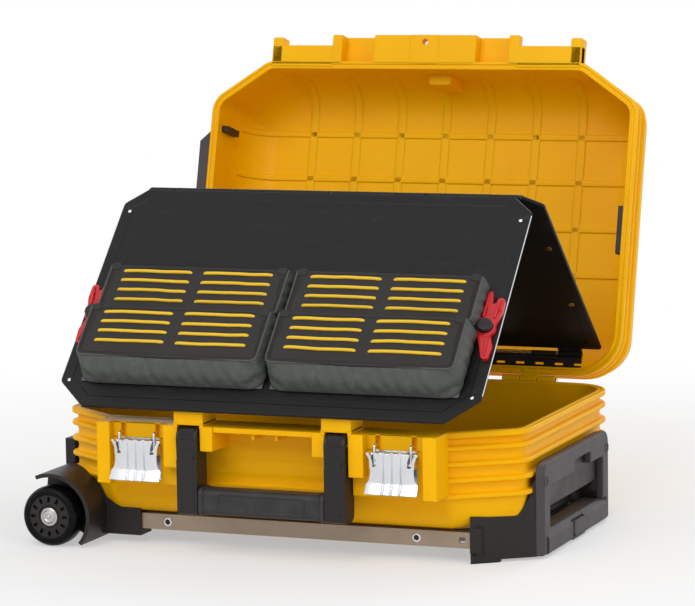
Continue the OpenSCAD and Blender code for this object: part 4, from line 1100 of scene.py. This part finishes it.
def rivet_tree():
    """A domed rivet head on each point."""
    tree = Pattern("rivet_heads", Radius=0.0024)
    head = tree.add("GeometryNodeMeshUVSphere", Segments=16, Rings=10, Radius=tree.given("Radius"))
    flat = tree.add("GeometryNodeTransform", Geometry=head, Scale=(1, 1, 0.45))
    heads = tree.add("GeometryNodeInstanceOnPoints", Points=tree.given("Geometry"), Instance=flat)
    return tree.finish(tree.add("GeometryNodeRealizeInstances", Geometry=heads))


CORDS = cord_tree()
RIVETS = rivet_tree()


def elastic_rows(name, panel, body, node, low, high, depth):
    """All the cords of one row of pockets."""
    places = []
    for pocket in (-POCKET_X, POCKET_X):
        for column in (-1, 1):
            for row in range(ROWS):
                places.append((pocket + column * (CORD_GAP + CORD_LENGTH / 2),
                               low + high - 0.007 - row * ROW_PITCH, depth + 0.0010))
    on_points(name, places, CORDS, {"Length": CORD_LENGTH}, panel, "elastic", body, node)


def pockets():
    """Both pockets of each row, with their plates and cords."""
    for row, panel, body, low, high, depth, foot in POCKET_ROWS:
        stem = "rear_pocket" if row == "rear" else "pocket_" + row
        plate = "rear_plate" if row == "rear" else "plate_" + row
        for side, x in (("left", -POCKET_X), ("right", POCKET_X)):
            pocket_cloth(f"{row}_gusset_{side}", panel, body, f"{stem}_{side}", x, low, high, depth, foot)
            pocket_plate(f"{row}_front_{side}", panel, body, f"{plate}_{side}", x, low, high, depth)
        cords = "rear_elastics" if row == "rear" else "elastics_" + row
        elastic_rows(f"{row}_cords", panel, body, cords, low, high, depth)


def inset_corners(corners, inset):
    """Corners (x, y, radius), listed anticlockwise, moved in from the outline's edges."""
    moved = []
    for i, (x, y, radius) in enumerate(corners):
        here = Vector((x, y))
        come = (here - Vector(corners[i - 1][:2])).normalized()
        go = (Vector(corners[(i + 1) % len(corners)][:2]) - here).normalized()
        n1, n2 = Vector((-come.y, come.x)), Vector((-go.y, go.x))
        point = here + (n1 + n2) * inset / (1 + n1.dot(n2))
        outward = come.x * go.y - come.y * go.x > 0
        moved.append((point.x, point.y, max(radius - inset, 0.0006) if outward else radius + inset))
    return moved


def panel_board(maker, corners, knuckles):
    """A board with a raised hem on both faces, and its fold's knuckles."""
    rings = []
    for inset, z in ((0.0125, 0.0005), (0.0117, 0), (0.0008, 0), (0, 0.0008), (0, BOARD_T - 0.0008),
                     (0.0008, BOARD_T), (0.0117, BOARD_T), (0.0125, BOARD_T - 0.0005)):
        rings.append([(x, y, z - BOARD_T) for x, y in rounded(inset_corners(corners, inset), 4)])
    maker.loft(rings)
    for x, y, half, way in knuckles:
        maker.rod((x, y, -BOARD_IN - BOARD_T), "x", -half, half, 0.003)
        y0, y1 = sorted((y, y + way * 0.008))
        maker.block((x - half, y0, -0.0072), (x + half, y1, -BOARD_T + 0.0005), 0.0005)


def boards():
    """Front board with its cut lower corners; rear board with a square foot."""
    cut, top, slope = 0.032, PANEL_LEN - 0.005, 0.022
    right = [(PANEL_HALF - cut, 0, 0.006), (PANEL_HALF, cut * 0.9, 0.006),
             (PANEL_HALF, PANEL_LEN - 0.024, 0.006), (PANEL_HALF - slope, top, 0.004)]
    left = [(-x, y, r) for x, y, r in reversed(right)]
    maker = Maker(ON_FRONT)
    fold = [(side * (0.090 + 0.100 * i), PANEL_LEN, 0.014, -1) for side in (-1, 1) for i in (0, 1)]
    panel_board(maker, right + left, fold)
    maker.piece("front_panel_board", "board_black", "front_panel", "front_board", angle=22)
    # a thin bright steel tube along each side edge of the front board: a painted highlight standing for the
    # light caught by the board's edges
    binding_and_highlight_strip = Maker(ON_FRONT)
    for side in (-1, 1):
        binding_and_highlight_strip.tube([(side * (PANEL_HALF - 0.0001), y, -0.0012) for y in (0.033, 0.1, 0.18, 0.254)], 0.0007, 8)
    binding_and_highlight_strip.piece("front_panel_edge_highlight", "latch_steel", "front_panel")

    low = 0.0045
    right = [(PANEL_HALF, low, 0.003), (PANEL_HALF, PANEL_LEN - 0.0195, 0.006),
             (PANEL_HALF - slope, PANEL_LEN - 0.0045, 0.004)]
    left = [(-x, y, r) for x, y, r in reversed(right)]
    maker = Maker(ON_REAR)
    fold = [(side * (0.090 + 0.100 * i), 0, 0.013, 1) for side in (-1, 1) for i in (0, 1)]
    fold += [(side * x, PANEL_LEN, half, -1) for side in (-1, 1)
             for x, half in ((0.0385, 0.036), (0.14, 0.0345))]
    panel_board(maker, right + left, fold)
    maker.piece("rear_panel_board", "board_black", "rear_panel", "rear_board", angle=22)


def rivets():
    """Four rivet heads near the front board's corners."""
    corners = [(side * 0.2155, y, 0.0002) for side in (-1, 1) for y in (0.030, 0.247)]
    on_points("front_rivet_heads", corners, RIVETS, {"Radius": 0.0021}, ON_FRONT, "latch_steel",
              "front_panel")


pockets()
boards()
rivets()

# ---------- clips ----------

CLIP_U = 0.110
CLIP_X = 0.212


def clips():
    """Swivel clips beside the pockets: two prongs above a round hub and one long lobe below."""
    hub = [(9.8 * math.cos(math.radians(a)), 9.8 * math.sin(math.radians(a))) for a in range(-50, 40, 15)]
    outline = [(x, y, 1.2) for x, y in hub] + [
        (10.5, 12, 2), (12.4, 20, 3), (12.2, 36, 3.5), (4.6, 37.5, 3.5), (2.8, 22, 2), (0.4, 30, 2),
        (-2.4, 45, 2.4), (-7.6, 44, 2.4), (-7.2, 14, 5), (-8.2, 2, 5), (-7.6, -8, 5), (-2.6, -20, 6),
        (3.4, -37.0, 2.8), (9.6, -36.0, 3), (10.8, -20, 6)]
    for side, name in ((-1, "left"), (1, "right")):
        place = ON_FRONT @ Matrix.Translation((side * CLIP_X, CLIP_U, 0)) @ Matrix.Diagonal((side, 1, 1, 1))
        maker = Maker(place)
        slot = [(x, y, 3.68) for x, y in ((-7.2, -3.7), (3.7, -3.7), (3.7, 3.7), (-7.2, 3.7))]
        shape, hole = ([(x / 1000, y / 1000) for x, y in rounded(o, 5)] for o in (outline, slot))
        maker.slotted(shape, hole, 0.0003, 0.0050, 0.0010)
        ring = [(0.0047, 0.0078), (0.0066, 0.0080), (0.0070, 0.0083), (0.0066, 0.0088), (0.0047, 0.0092)]
        maker.turned(ring, (0, 0, 0), "z", 40)
        ridges = (((4.2, -12), (6.2, -34)), ((-5.0, 13), (-5.0, 40)), ((6.2, 12), (8.6, 33)))
        for (x0, y0), (x1, y1) in ridges:
            way = Vector((x1 - x0, y1 - y0)).normalized()
            off = Vector((-way.y, way.x)) * 1.5
            quad = [(x0 - off.x, y0 - off.y, 0.8), (x1 - off.x * 0.5, y1 - off.y * 0.5, 0.6),
                    (x1 + off.x * 0.5, y1 + off.y * 0.5, 0.6), (x0 + off.x, y0 + off.y, 0.8)]
            maker.prism([(x / 1000, y / 1000) for x, y in rounded(quad, 3)], "z", 0.0045, 0.0072, 0.0009, 3)
        bmesh.ops.remove_doubles(maker.bm, verts=maker.bm.verts, dist=3e-5)
        bmesh.ops.dissolve_degenerate(maker.bm, edges=maker.bm.edges, dist=1e-6)
        maker.piece("clip_lever_" + name, "clip_red", "clip_" + name, "clip_" + name)
    knobs = Maker(ON_FRONT)
    for side in (-1, 1):
        centre = (side * CLIP_X, CLIP_U, 0)
        knobs.rod(centre, "z", 0, 0.0078, 0.0034)
        cap = [(0.0076, 0), (0.0076, 0.0072), (0.0083, 0.0078), (0.0112, 0.0078), (0.0124, 0.0070),
               (0.0128, 0.0056), (0.0126, 0.0052), (0.0126, 0)]
        knobs.turned(cap, centre, "z", 40)
    knobs.piece("clip_caps", "frame_black", "front_panel", "clip_knobs")


# ---------- carrying handle ----------

HANDLE_Y = -0.1985
HANDLE_FRONT = -0.211
PIVOT_Z = 0.120
HANDLE_Z = 0.044
GRIP_H = 0.028


def carrying_handle():
    """Two arms with a bar between them, and the rubber grip round the bar."""
    place = placed_at(0, 0, 0)
    head = 0.0125
    back = HANDLE_FRONT + 0.025
    top = [(HANDLE_Y + head * math.cos(math.radians(a)), PIVOT_Z + head * math.sin(math.radians(a)))
           for a in range(0, 181, 12)]
    side_shape = top + rounded([(HANDLE_FRONT, 0.10, 0.001), (HANDLE_FRONT, HANDLE_Z, 0.0045),
                                (back, HANDLE_Z, 0.008), (back, 0.10, 0.001)], 5)
    maker = Maker(place)
    for side in (-1, 1):
        lo, hi = sorted((side * ARM_IN, side * ARM_OUT))
        maker.prism(side_shape, "x", lo, hi, 0.0014, 3, 40)
        middle = (lo + hi) / 2
        # ribbed thumb pad over the pivot, and a raised panel down the arm
        for i in range(7):
            turn = math.radians(128 + i * 7.5)
            maker.rod((0, HANDLE_Y + head * math.cos(turn), PIVOT_Z + head * math.sin(turn)), "x",
                      middle - 0.0075, middle + 0.0075, 0.0007, 0.0002, 10)
        maker.block((middle - 0.0078, HANDLE_FRONT - 0.0006, HANDLE_Z + 0.008),
                    (middle + 0.0078, HANDLE_FRONT + 0.001, PIVOT_Z - 0.014), 0.0005)
    maker.rod((0, HANDLE_Y, HANDLE_Z + GRIP_H / 2), "x", -ARM_IN - 0.001, ARM_IN + 0.001, 0.009)
    maker.piece("handle_arms", "frame_black", "carry_handle", "carry_handle")

    half, mid = GRIP_H / 2, HANDLE_Z + GRIP_H / 2

    def section(grow):
        """The grip's rounded outline, let out by a margin."""
        return rounded([(HANDLE_Y - half + 0.002 - grow, mid - half + 0.0005 - grow, 0.006),
                        (HANDLE_Y + half - 0.002 + grow, mid - half + 0.0005 - grow, 0.006),
                        (HANDLE_Y + half - 0.002 + grow, mid + half - 0.0005 + grow, 0.006),
                        (HANDLE_Y - half + 0.002 - grow, mid + half - 0.0005 + grow, 0.006)], 6)

    maker = Maker(place)
    inner = ARM_IN - 0.0006
    maker.prism(section(-0.0004), "x", -inner, inner, 0.0008, 2, 50)
    for side in (-1, 1):
        lo, hi = sorted((side * (inner - 0.0045), side * inner))
        maker.prism(section(0.0007), "x", lo, hi, 0.0009, 2, 50)
        lo, hi = sorted((side * (inner - 0.0095), side * (inner - 0.0065)))
        maker.prism(section(0.0001), "x", lo, hi, 0.0007, 2, 50)
    front = HANDLE_Y - half + 0.0024
    frame = rounded([(-0.046, mid - 0.0085, 0.0035), (0.046, mid - 0.0085, 0.0035),
                     (0.046, mid + 0.0085, 0.0035), (-0.046, mid + 0.0085, 0.0035)], 5)
    loop = [(x, front - 0.0001, z) for x, z in frame + frame[:1]]
    maker.tube(loop, 0.0006, 8)
    maker.piece("handle_grip_sleeve", "grip_rubber", "carry_handle", "handle_grip")


# ---------- latches ----------

LEVER_TOP = 0.113
LEVER_PIVOT_Y = -0.1975
LEVER_FACE = -0.2051
BAIL_Y = LEVER_PIVOT_Y - 0.0046
BAIL_Z = LEVER_TOP - 0.008
LEVER_W = 0.054


def lever_shape(side):
    """Pressed lever: fluted sheet, narrower at its waist, rolled out at its foot, horned at its top."""
    top, low, half = LEVER_TOP + 0.0030, LEVER_TOP + 0.0030 - 0.040, LEVER_W / 2
    columns = sorted({-1.0, 1.0} | {i / 40 for i in range(-40, 41)}
                     | {way * (HOOK_HALF + d) / (half - 0.003) for way in (-1, 1) for d in (-0.0024, 0.0024)})
    levels = [(0.0, -0.0008), (0.03, 0.0), (0.09, -0.0018), (0.2, -0.0036), (0.345, -0.0044), (0.5, -0.0044),
              (0.64, -0.0036), (0.72, -0.0022), (0.76, -0.0006), (0.80, 0.0), (0.9, 0.0), (1.0, 0.0002)]
    sheet = bmesh.new()
    rows = []
    for share, narrow in levels:
        z = top + (low - top) * share
        flare = max(0.0, share - 0.74) / 0.26
        out = -0.0060 * flare ** 1.15 - 0.0006
        row = []
        for c in columns:
            x = c * (half + narrow)
            flute = sum(math.exp(-((x - f) / 0.0010) ** 2) for f in (-0.009, 0, 0.009))
            depth = 0.0007 if share < 0.05 or share > 0.97 else 0.0011 if share < 0.4 else 0.0020
            dish = depth * flute
            curl = 0.0012 * abs(c) ** 6
            wave = 0.0009 * math.cos(x / 0.0045 * math.pi) if share == 0.0 and abs(x) < 0.014 else 0.0
            row.append(sheet.verts.new((x, LEVER_FACE + out + dish + curl, z + wave)))
        rows.append(row)
    for i, (upper, lower) in enumerate(zip(rows, rows[1:])):
        for j in range(len(columns) - 1):
            x = (columns[j] + columns[j + 1]) / 2 * (half - 0.003)
            z = top + (low - top) * (levels[i][0] + levels[i + 1][0]) / 2
            if abs(abs(x) - HOOK_HALF) < 0.0022 and z > BAIL_Z - 0.0027:
                continue
            sheet.faces.new((upper[j], upper[j + 1], lower[j + 1], lower[j]))
    bmesh.ops.delete(sheet, geom=[v for v in sheet.verts if not v.link_faces], context="VERTS")
    bmesh.ops.recalc_face_normals(sheet, faces=sheet.faces)
    mesh = bpy.data.meshes.new("sheet")
    sheet.to_mesh(mesh)
    sheet.free()
    piece = linked("sheet", mesh)
    thick = piece.modifiers.new("thick", "SOLIDIFY")
    thick.thickness = 0.0013
    thick.offset = 0
    flatten(piece)
    part = bmesh.new()
    part.from_mesh(piece.data)
    bpy.data.objects.remove(piece)
    maker = Maker(placed_at(side * LATCH_X, 0, 0))
    maker.add(part)
    for way in (-1, 1):
        x = way * (half - 0.0045)
        maker.block((x - 0.0008, LEVER_FACE - 0.0004, LEVER_TOP - 0.012), (x + 0.0008, LEVER_PIVOT_Y + 0.0005,
                    LEVER_TOP + 0.0004), 0.0003)
        maker.rod((0, LEVER_PIVOT_Y, LEVER_TOP), "x", x - 0.0008, x + 0.0008, 0.0035, 0.0002)
    return maker


def bail_shape(side):
    """Wire bail: one bent wire, its ends turned back into hooks, and its stub ends in the lever."""
    maker = Maker(placed_at(side * LATCH_X, 0, 0))
    tip = LEVER_TOP + 0.010
    bend = [(HOOK_HALF, tip + 0.0006), (HOOK_HALF, BAIL_Z), (-HOOK_HALF, BAIL_Z), (-HOOK_HALF, tip + 0.0006)]
    arc = round_corner(bend[0], bend[1], bend[2], 0.0022, 6)
    arc += round_corner(bend[1], bend[2], bend[3], 0.0022, 6)
    path = [(HOOK_HALF, BAIL_Y + 0.006, tip)]
    hook = round_corner((0.006, tip), (0, tip), (0, BAIL_Z), 0.0016, 5)
    path += [(HOOK_HALF, BAIL_Y + y, z) for y, z in hook]
    path += [(p[0], BAIL_Y, p[1]) for p in arc]
    path += [(-HOOK_HALF, BAIL_Y + y, z) for y, z in reversed(hook)]
    path.append((-HOOK_HALF, BAIL_Y + 0.006, tip))
    maker.tube(path, 0.00145, 12)
    reach = LEVER_W / 2 - 0.0035
    for way in (-1, 1):
        lo, hi = sorted((way * (HOOK_HALF - 0.004), way * reach))
        maker.rod((0, BAIL_Y, BAIL_Z), "x", lo, hi, 0.0014, 0.0003, 12)
    return maker


def latches():
    """Both draw latches: lever and wire bail."""
    for side, name in ((-1, "left"), (1, "right")):
        lever_shape(side).piece("latch_lever_" + name, "latch_steel", "latch_lever_" + name, "lever_" + name,
                                angle=50)
        bail_shape(side).piece("latch_wire_" + name, "latch_steel", "latch_bail_" + name, "bail_" + name,
                               angle=60)


# ---------- wheels ----------

WHEEL_X = -0.2395
WHEEL_R = 0.031
WHEEL_W = 0.026
TRACK = 0.400


def wheels():
    """Both wheels: tyre and cap."""
    for side, name in ((-1, "front"), (1, "back")):
        place = placed_at(WHEEL_X, 0, WHEEL_R) @ Matrix.Translation((0, side * TRACK / 2, 0))
        place = place @ Matrix.Diagonal((1, -side, 1, 1))
        maker = Maker(place)
        bore = 0.0224
        profile = [(0.0012, bore), (0.0006, bore + 0.0012), (0.0006, 0.0262), (0.0014, 0.0276),
                   (0.0030, 0.0292), (0.0056, 0.0304), (0.0090, WHEEL_R), (WHEEL_W - 0.0090, WHEEL_R),
                   (WHEEL_W - 0.0056, 0.0304), (WHEEL_W - 0.0030, 0.0292), (WHEEL_W - 0.0014, 0.0276),
                   (WHEEL_W - 0.0006, 0.0262), (WHEEL_W - 0.0006, bore + 0.0012),
                   (WHEEL_W - 0.0012, bore)]
        maker.turned(profile, (0, 0, 0), "y", 96)
        maker.piece("tyre_" + name + "_tread", "tyre", "wheel_" + name, "tyre_" + name)
        cap = Maker(place)
        rim = [(0.0029, 0.0), (0.0029, 0.0094), (0.0016, 0.0094), (0.0010, 0.0086), (0.0012, 0.0074),
               (0.0004, 0.0066), (-0.0006, 0.0058), (-0.0010, 0.0040), (-0.0004, 0.0032),
               (-0.0004, 0.0022), (-0.0012, 0.0016), (-0.0014, 0.0)]
        cap.turned(rim, (0, 0, 0), "y", 48)
        cap.piece("hub_cap_" + name + "_disc", "cap_metal", "wheel_" + name, "hub_cap_" + name)


clips()
carrying_handle()
latches()
wheels()

# ---------- end housing and trolley grip ----------

HOUSING_X = 0.260
HOUSING_Z = 0.095
GRIP_BAR = 0.098
HOLLOW_X = 0.0194                # half the width of the button's pocket in the grip
POST_OUT = 0.009
GRIP_X = 0.236
GRIP_Z = 0.0025
GRIP_TOP = 0.0255
GRIP_OUT = 0.262


def housing():
    """Grey outer plate with its hand opening, and the black body behind it."""
    place = placed_at(0, 0, 0)
    side = GRIP_BAR + POST_OUT
    inner = GRIP_BAR - 0.010
    top = HOUSING_Z - 0.025

    def ring(x, out, inset):
        """The plate's outline at one depth: its sides reach out, and its edges are drawn in."""
        wide, high = side + out - inset, HOUSING_Z - inset
        low, post = 0.003 + inset, GRIP_BAR + 0.0004 + inset
        hole, head = inner + inset, top + inset
        corners = [(-wide, low, 0.0012), (-wide, high - 0.004, 0.010), (-wide + 0.009, high, 0.010),
                   (wide - 0.009, high, 0.010), (wide, high - 0.004, 0.010), (wide, low, 0.0012),
                   (post, low, 0.0006), (post, GRIP_TOP + inset, 0.0006),
                   (hole, GRIP_TOP + inset, 0.0006), (hole, head, 0.004), (0.046 + inset, head, 0.0012),
                   (0.046 + inset, head + 0.012, 0.003), (-0.008 - inset, head + 0.012, 0.003),
                   (-0.008 - inset, head, 0.0012), (-hole, head, 0.004),
                   (-hole, GRIP_TOP + inset, 0.0006), (-post, GRIP_TOP + inset, 0.0006),
                   (-post, low, 0.0006)]
        return [(x, y, z) for y, z in rounded(corners, 5)]

    maker = Maker(place)
    maker.loft([ring(0.2527, 0.0051, 0), ring(HOUSING_X - 0.0022, 0.0015, 0),
                ring(HOUSING_X - 0.0008, 0.0002, 0.0004), ring(HOUSING_X, 0, 0.0016)])
    for way in (-1, 1):
        # dished screw places
        centre = (HOUSING_X, way * (side - 0.006), HOUSING_Z - 0.018)
        maker.turned([(0.0002, 0.0046), (0.0006, 0.0050), (0.0002, 0.0056), (-0.0006, 0.0056),
                      (-0.0006, 0.0046)],
                     centre, "x", 32)
    maker.piece("housing_plate", "housing_grey", "base", "end_housing")

    body = Maker()
    body.bm.from_mesh(frame["nodes"]["end_housing"].data)
    bmesh.ops.remove_doubles(body.bm, verts=body.bm.verts, dist=1e-6)
    cut = CASE_X + 0.2526
    geometry = body.bm.verts[:] + body.bm.edges[:] + body.bm.faces[:]
    made = bmesh.ops.bisect_plane(body.bm, geom=geometry, plane_co=(cut, 0, 0), plane_no=(1, 0, 0),
                                  clear_outer=True)
    rim = [e for e in made["geom_cut"] if isinstance(e, bmesh.types.BMEdge) and e.is_boundary]
    bmesh.ops.triangle_fill(body.bm, edges=rim, use_beauty=True)
    bmesh.ops.recalc_face_normals(body.bm, faces=body.bm.faces)
    shoe = Maker(place)
    for way in (-1, 1):
        # boss over the end of a rail
        corners = [(0.1972, 0.1521, 0.001), (0.2085, 0.1514, 0.001), (0.2100, 0.1430, 0.001),
                   (0.1972, 0.1430, 0.001)]
        shoe.prism([(x, way * y) for x, y in rounded(corners, 3)], "z", 0.0105, 0.0360, 0.0006)
    solid = bpy.data.meshes.new("bosses")
    shoe.bm.to_mesh(solid)
    shoe.bm.free()
    body.bm.from_mesh(solid)
    body.piece("housing_body", "frame_black", "base", angle=30)

    # flat black discs in the dished screw places: painted shade standing for the hollows of the screw holes
    dark = Maker(place)
    for way in (-1, 1):
        dark.rod((0, way * (side - 0.006), HOUSING_Z - 0.018), "x", HOUSING_X - 0.001, HOUSING_X + 0.0001,
                 0.0045)
    dark.piece("housing_screw_hole_shade", "frame_black", "base")


def trolley_bar():
    """Pull bar: long bevelled moulding with a push button let into its face."""
    place = placed_at(0, 0, 0)
    full = [(GRIP_X, GRIP_Z, 0.002), (GRIP_OUT, GRIP_Z, 0.004), (GRIP_OUT, GRIP_TOP - 0.006, 0.003),
            (GRIP_OUT - 0.006, GRIP_TOP, 0.003), (GRIP_X, GRIP_TOP, 0.002)]
    back = GRIP_OUT - 0.009
    hollow = [(GRIP_X, GRIP_Z, 0.002), (GRIP_OUT - 0.0003, GRIP_Z, 0.0005),
              (GRIP_OUT - 0.0003, GRIP_Z + 0.0029, 0.0005), (back, GRIP_Z + 0.0029, 0.0005),
              (back, GRIP_Z + 0.0191, 0.0005), (GRIP_OUT - 0.003, GRIP_Z + 0.0191, 0.0005),
              (GRIP_OUT - 0.0064, GRIP_TOP - 0.0002, 0.001), (GRIP_X, GRIP_TOP - 0.0002, 0.002)]
    maker = Maker(place)
    for lo, hi in ((-GRIP_BAR, -HOLLOW_X), (HOLLOW_X, GRIP_BAR)):
        maker.prism(rounded(full, 5), "y", lo, hi, 0.0010, 2, 40)
    maker.prism(rounded(hollow, 3), "y", -HOLLOW_X, HOLLOW_X, 0)
    maker.piece("trolley_bar", "housing_grey", "trolley_handle", "trolley_grip")

    low, high = GRIP_Z + 0.0035, GRIP_Z + 0.0035 + 0.015
    outline = rounded([(-0.0186, low, 0.005), (0.0186, low, 0.005), (0.0186, high, 0.005),
                       (-0.0186, high, 0.005)], 6)
    button = Maker(place)
    button.prism(outline, "x", GRIP_OUT - 0.0044, GRIP_OUT + 0.0010, 0.0008, 3, 40)
    button.piece("push_button", "housing_grey", "trolley_button", "trolley_button")


def rail_screw_heads():
    """Countersunk heads in the faces of the rails, each with a flat black disc in it as painted shade for its
    deep drive.
    """
    place = placed_at(0, 0, 0)
    heads, drive_shade_discs = Maker(place), Maker(place)
    for x in (-0.129, 0.141):
        for way in (-1, 1):
            y = way * 0.150
            ring = [(way * 0.0004, 0.0026), (way * 0.0009, 0.0030), (way * 0.0009, 0.0040),
                    (way * 0.0003, 0.0047),
                    (-way * 0.0004, 0.0047), (-way * 0.0004, 0.0026)]
            heads.turned(ring, (x, y, 0.023), "y", 32)
            # a flat black disc inside the head's rim: painted shade standing for the deep drive hole
            drive_shade_discs.rod((x, y, 0.023), "y", -0.0003, 0.0003, 0.0028, 0.0001)
    heads.piece("rail_screw_rims", "latch_steel", "base", "rail_screws")
    drive_shade_discs.piece("rail_screw_drive_shade", "frame_black", "base")


housing()
trolley_bar()
rail_screw_heads()

# ---------- studio ----------


def studio():
    """Plain pale floor, a big soft key lamp in front, a weak fill at the right and a rim lamp behind."""
    size = 6.0
    mesh = bpy.data.meshes.new("floor")
    mesh.from_pydata([(-size, -size, 0), (size, -size, 0), (size, size, 0), (-size, size, 0)], [],
                     [(0, 1, 2, 3)])
    floor = linked("floor", mesh)
    tree = Tree("floor_paper")
    pale = tree.noise(3, 2).above(0.5, 0.4)
    paper = tree.mix(pale, rgb(238, 238, 238), rgb(243, 243, 243))
    tree.finish(Base_Color=paper, Roughness=0.9, Specular_IOR_Level=0.0)
    # seen directly, the paper fades to plain white away from the case, so that no horizon shows
    away = tree.node("VectorMath", {"operation": "LENGTH"}, out=1, Vector=tree.place()).above(0.75, 0.4)
    seen = tree.node("LightPath")
    outputs = seen.socket.node.outputs
    for ray in ("Is Glossy Ray", "Is Transmission Ray"):
        seen = seen + Value(tree.tree, outputs[ray])
    bare = tree.node("Emission", Color=(1, 1, 1, 1), Strength=1.0)
    mixed = tree.node("MixShader", Fac=(away * 0.55 + 0.45) * seen)
    tree.tree.links.new(tree.shader.outputs[0], mixed.socket.node.inputs[1])
    tree.tree.links.new(bare.socket, mixed.socket.node.inputs[2])
    tree.tree.links.new(mixed.socket, tree.tree.nodes["Material Output"].inputs["Surface"])
    floor.data.materials.append(tree.material)

    def lamp(name, place, aim, energy, width, mirrored=True):
        """A square lamp that points at a place on the case."""
        data = bpy.data.lights.new(name, "AREA")
        data.energy = energy
        data.size = width
        light = linked(name, data)
        light.location = place
        light.visible_glossy = mirrored
        light.rotation_euler = (Vector(aim) - Vector(place)).to_track_quat("-Z", "Y").to_euler()

    lamp("key", (-0.2, -2.6, 2.3), (0, 0, 0.25), 43, 2.0)
    lamp("fill", (2.4, -1.2, 1.3), (0, 0, 0.25), 13, 2.0, mirrored=False)
    lamp("rim", (0.6, 2.2, 2.2), (0, 0, 0.3), 24, 1.6)

    world = bpy.data.worlds.new("studio_air")
    world.use_nodes = True
    nodes, links = world.node_tree.nodes, world.node_tree.links
    dim = nodes["Background"]
    dim.inputs["Color"].default_value = (1, 1, 1, 1)
    dim.inputs["Strength"].default_value = 0.55
    bright = nodes.new("ShaderNodeBackground")
    bright.inputs["Color"].default_value = (1, 1, 1, 1)
    bright.inputs["Strength"].default_value = 1.0
    path = nodes.new("ShaderNodeLightPath").outputs
    seen = Value(world.node_tree, path["Is Camera Ray"]) + Value(world.node_tree, path["Is Glossy Ray"])
    seen += Value(world.node_tree, path["Is Transmission Ray"])
    mix = nodes.new("ShaderNodeMixShader")
    links.new(seen.socket, mix.inputs[0])
    links.new(dim.outputs[0], mix.inputs[1])
    links.new(bright.outputs[0], mix.inputs[2])
    links.new(mix.outputs[0], nodes["World Output"].inputs["Surface"])
    bpy.context.scene.world = world


studio()
bpy.context.scene.view_settings.view_transform = "Standard"
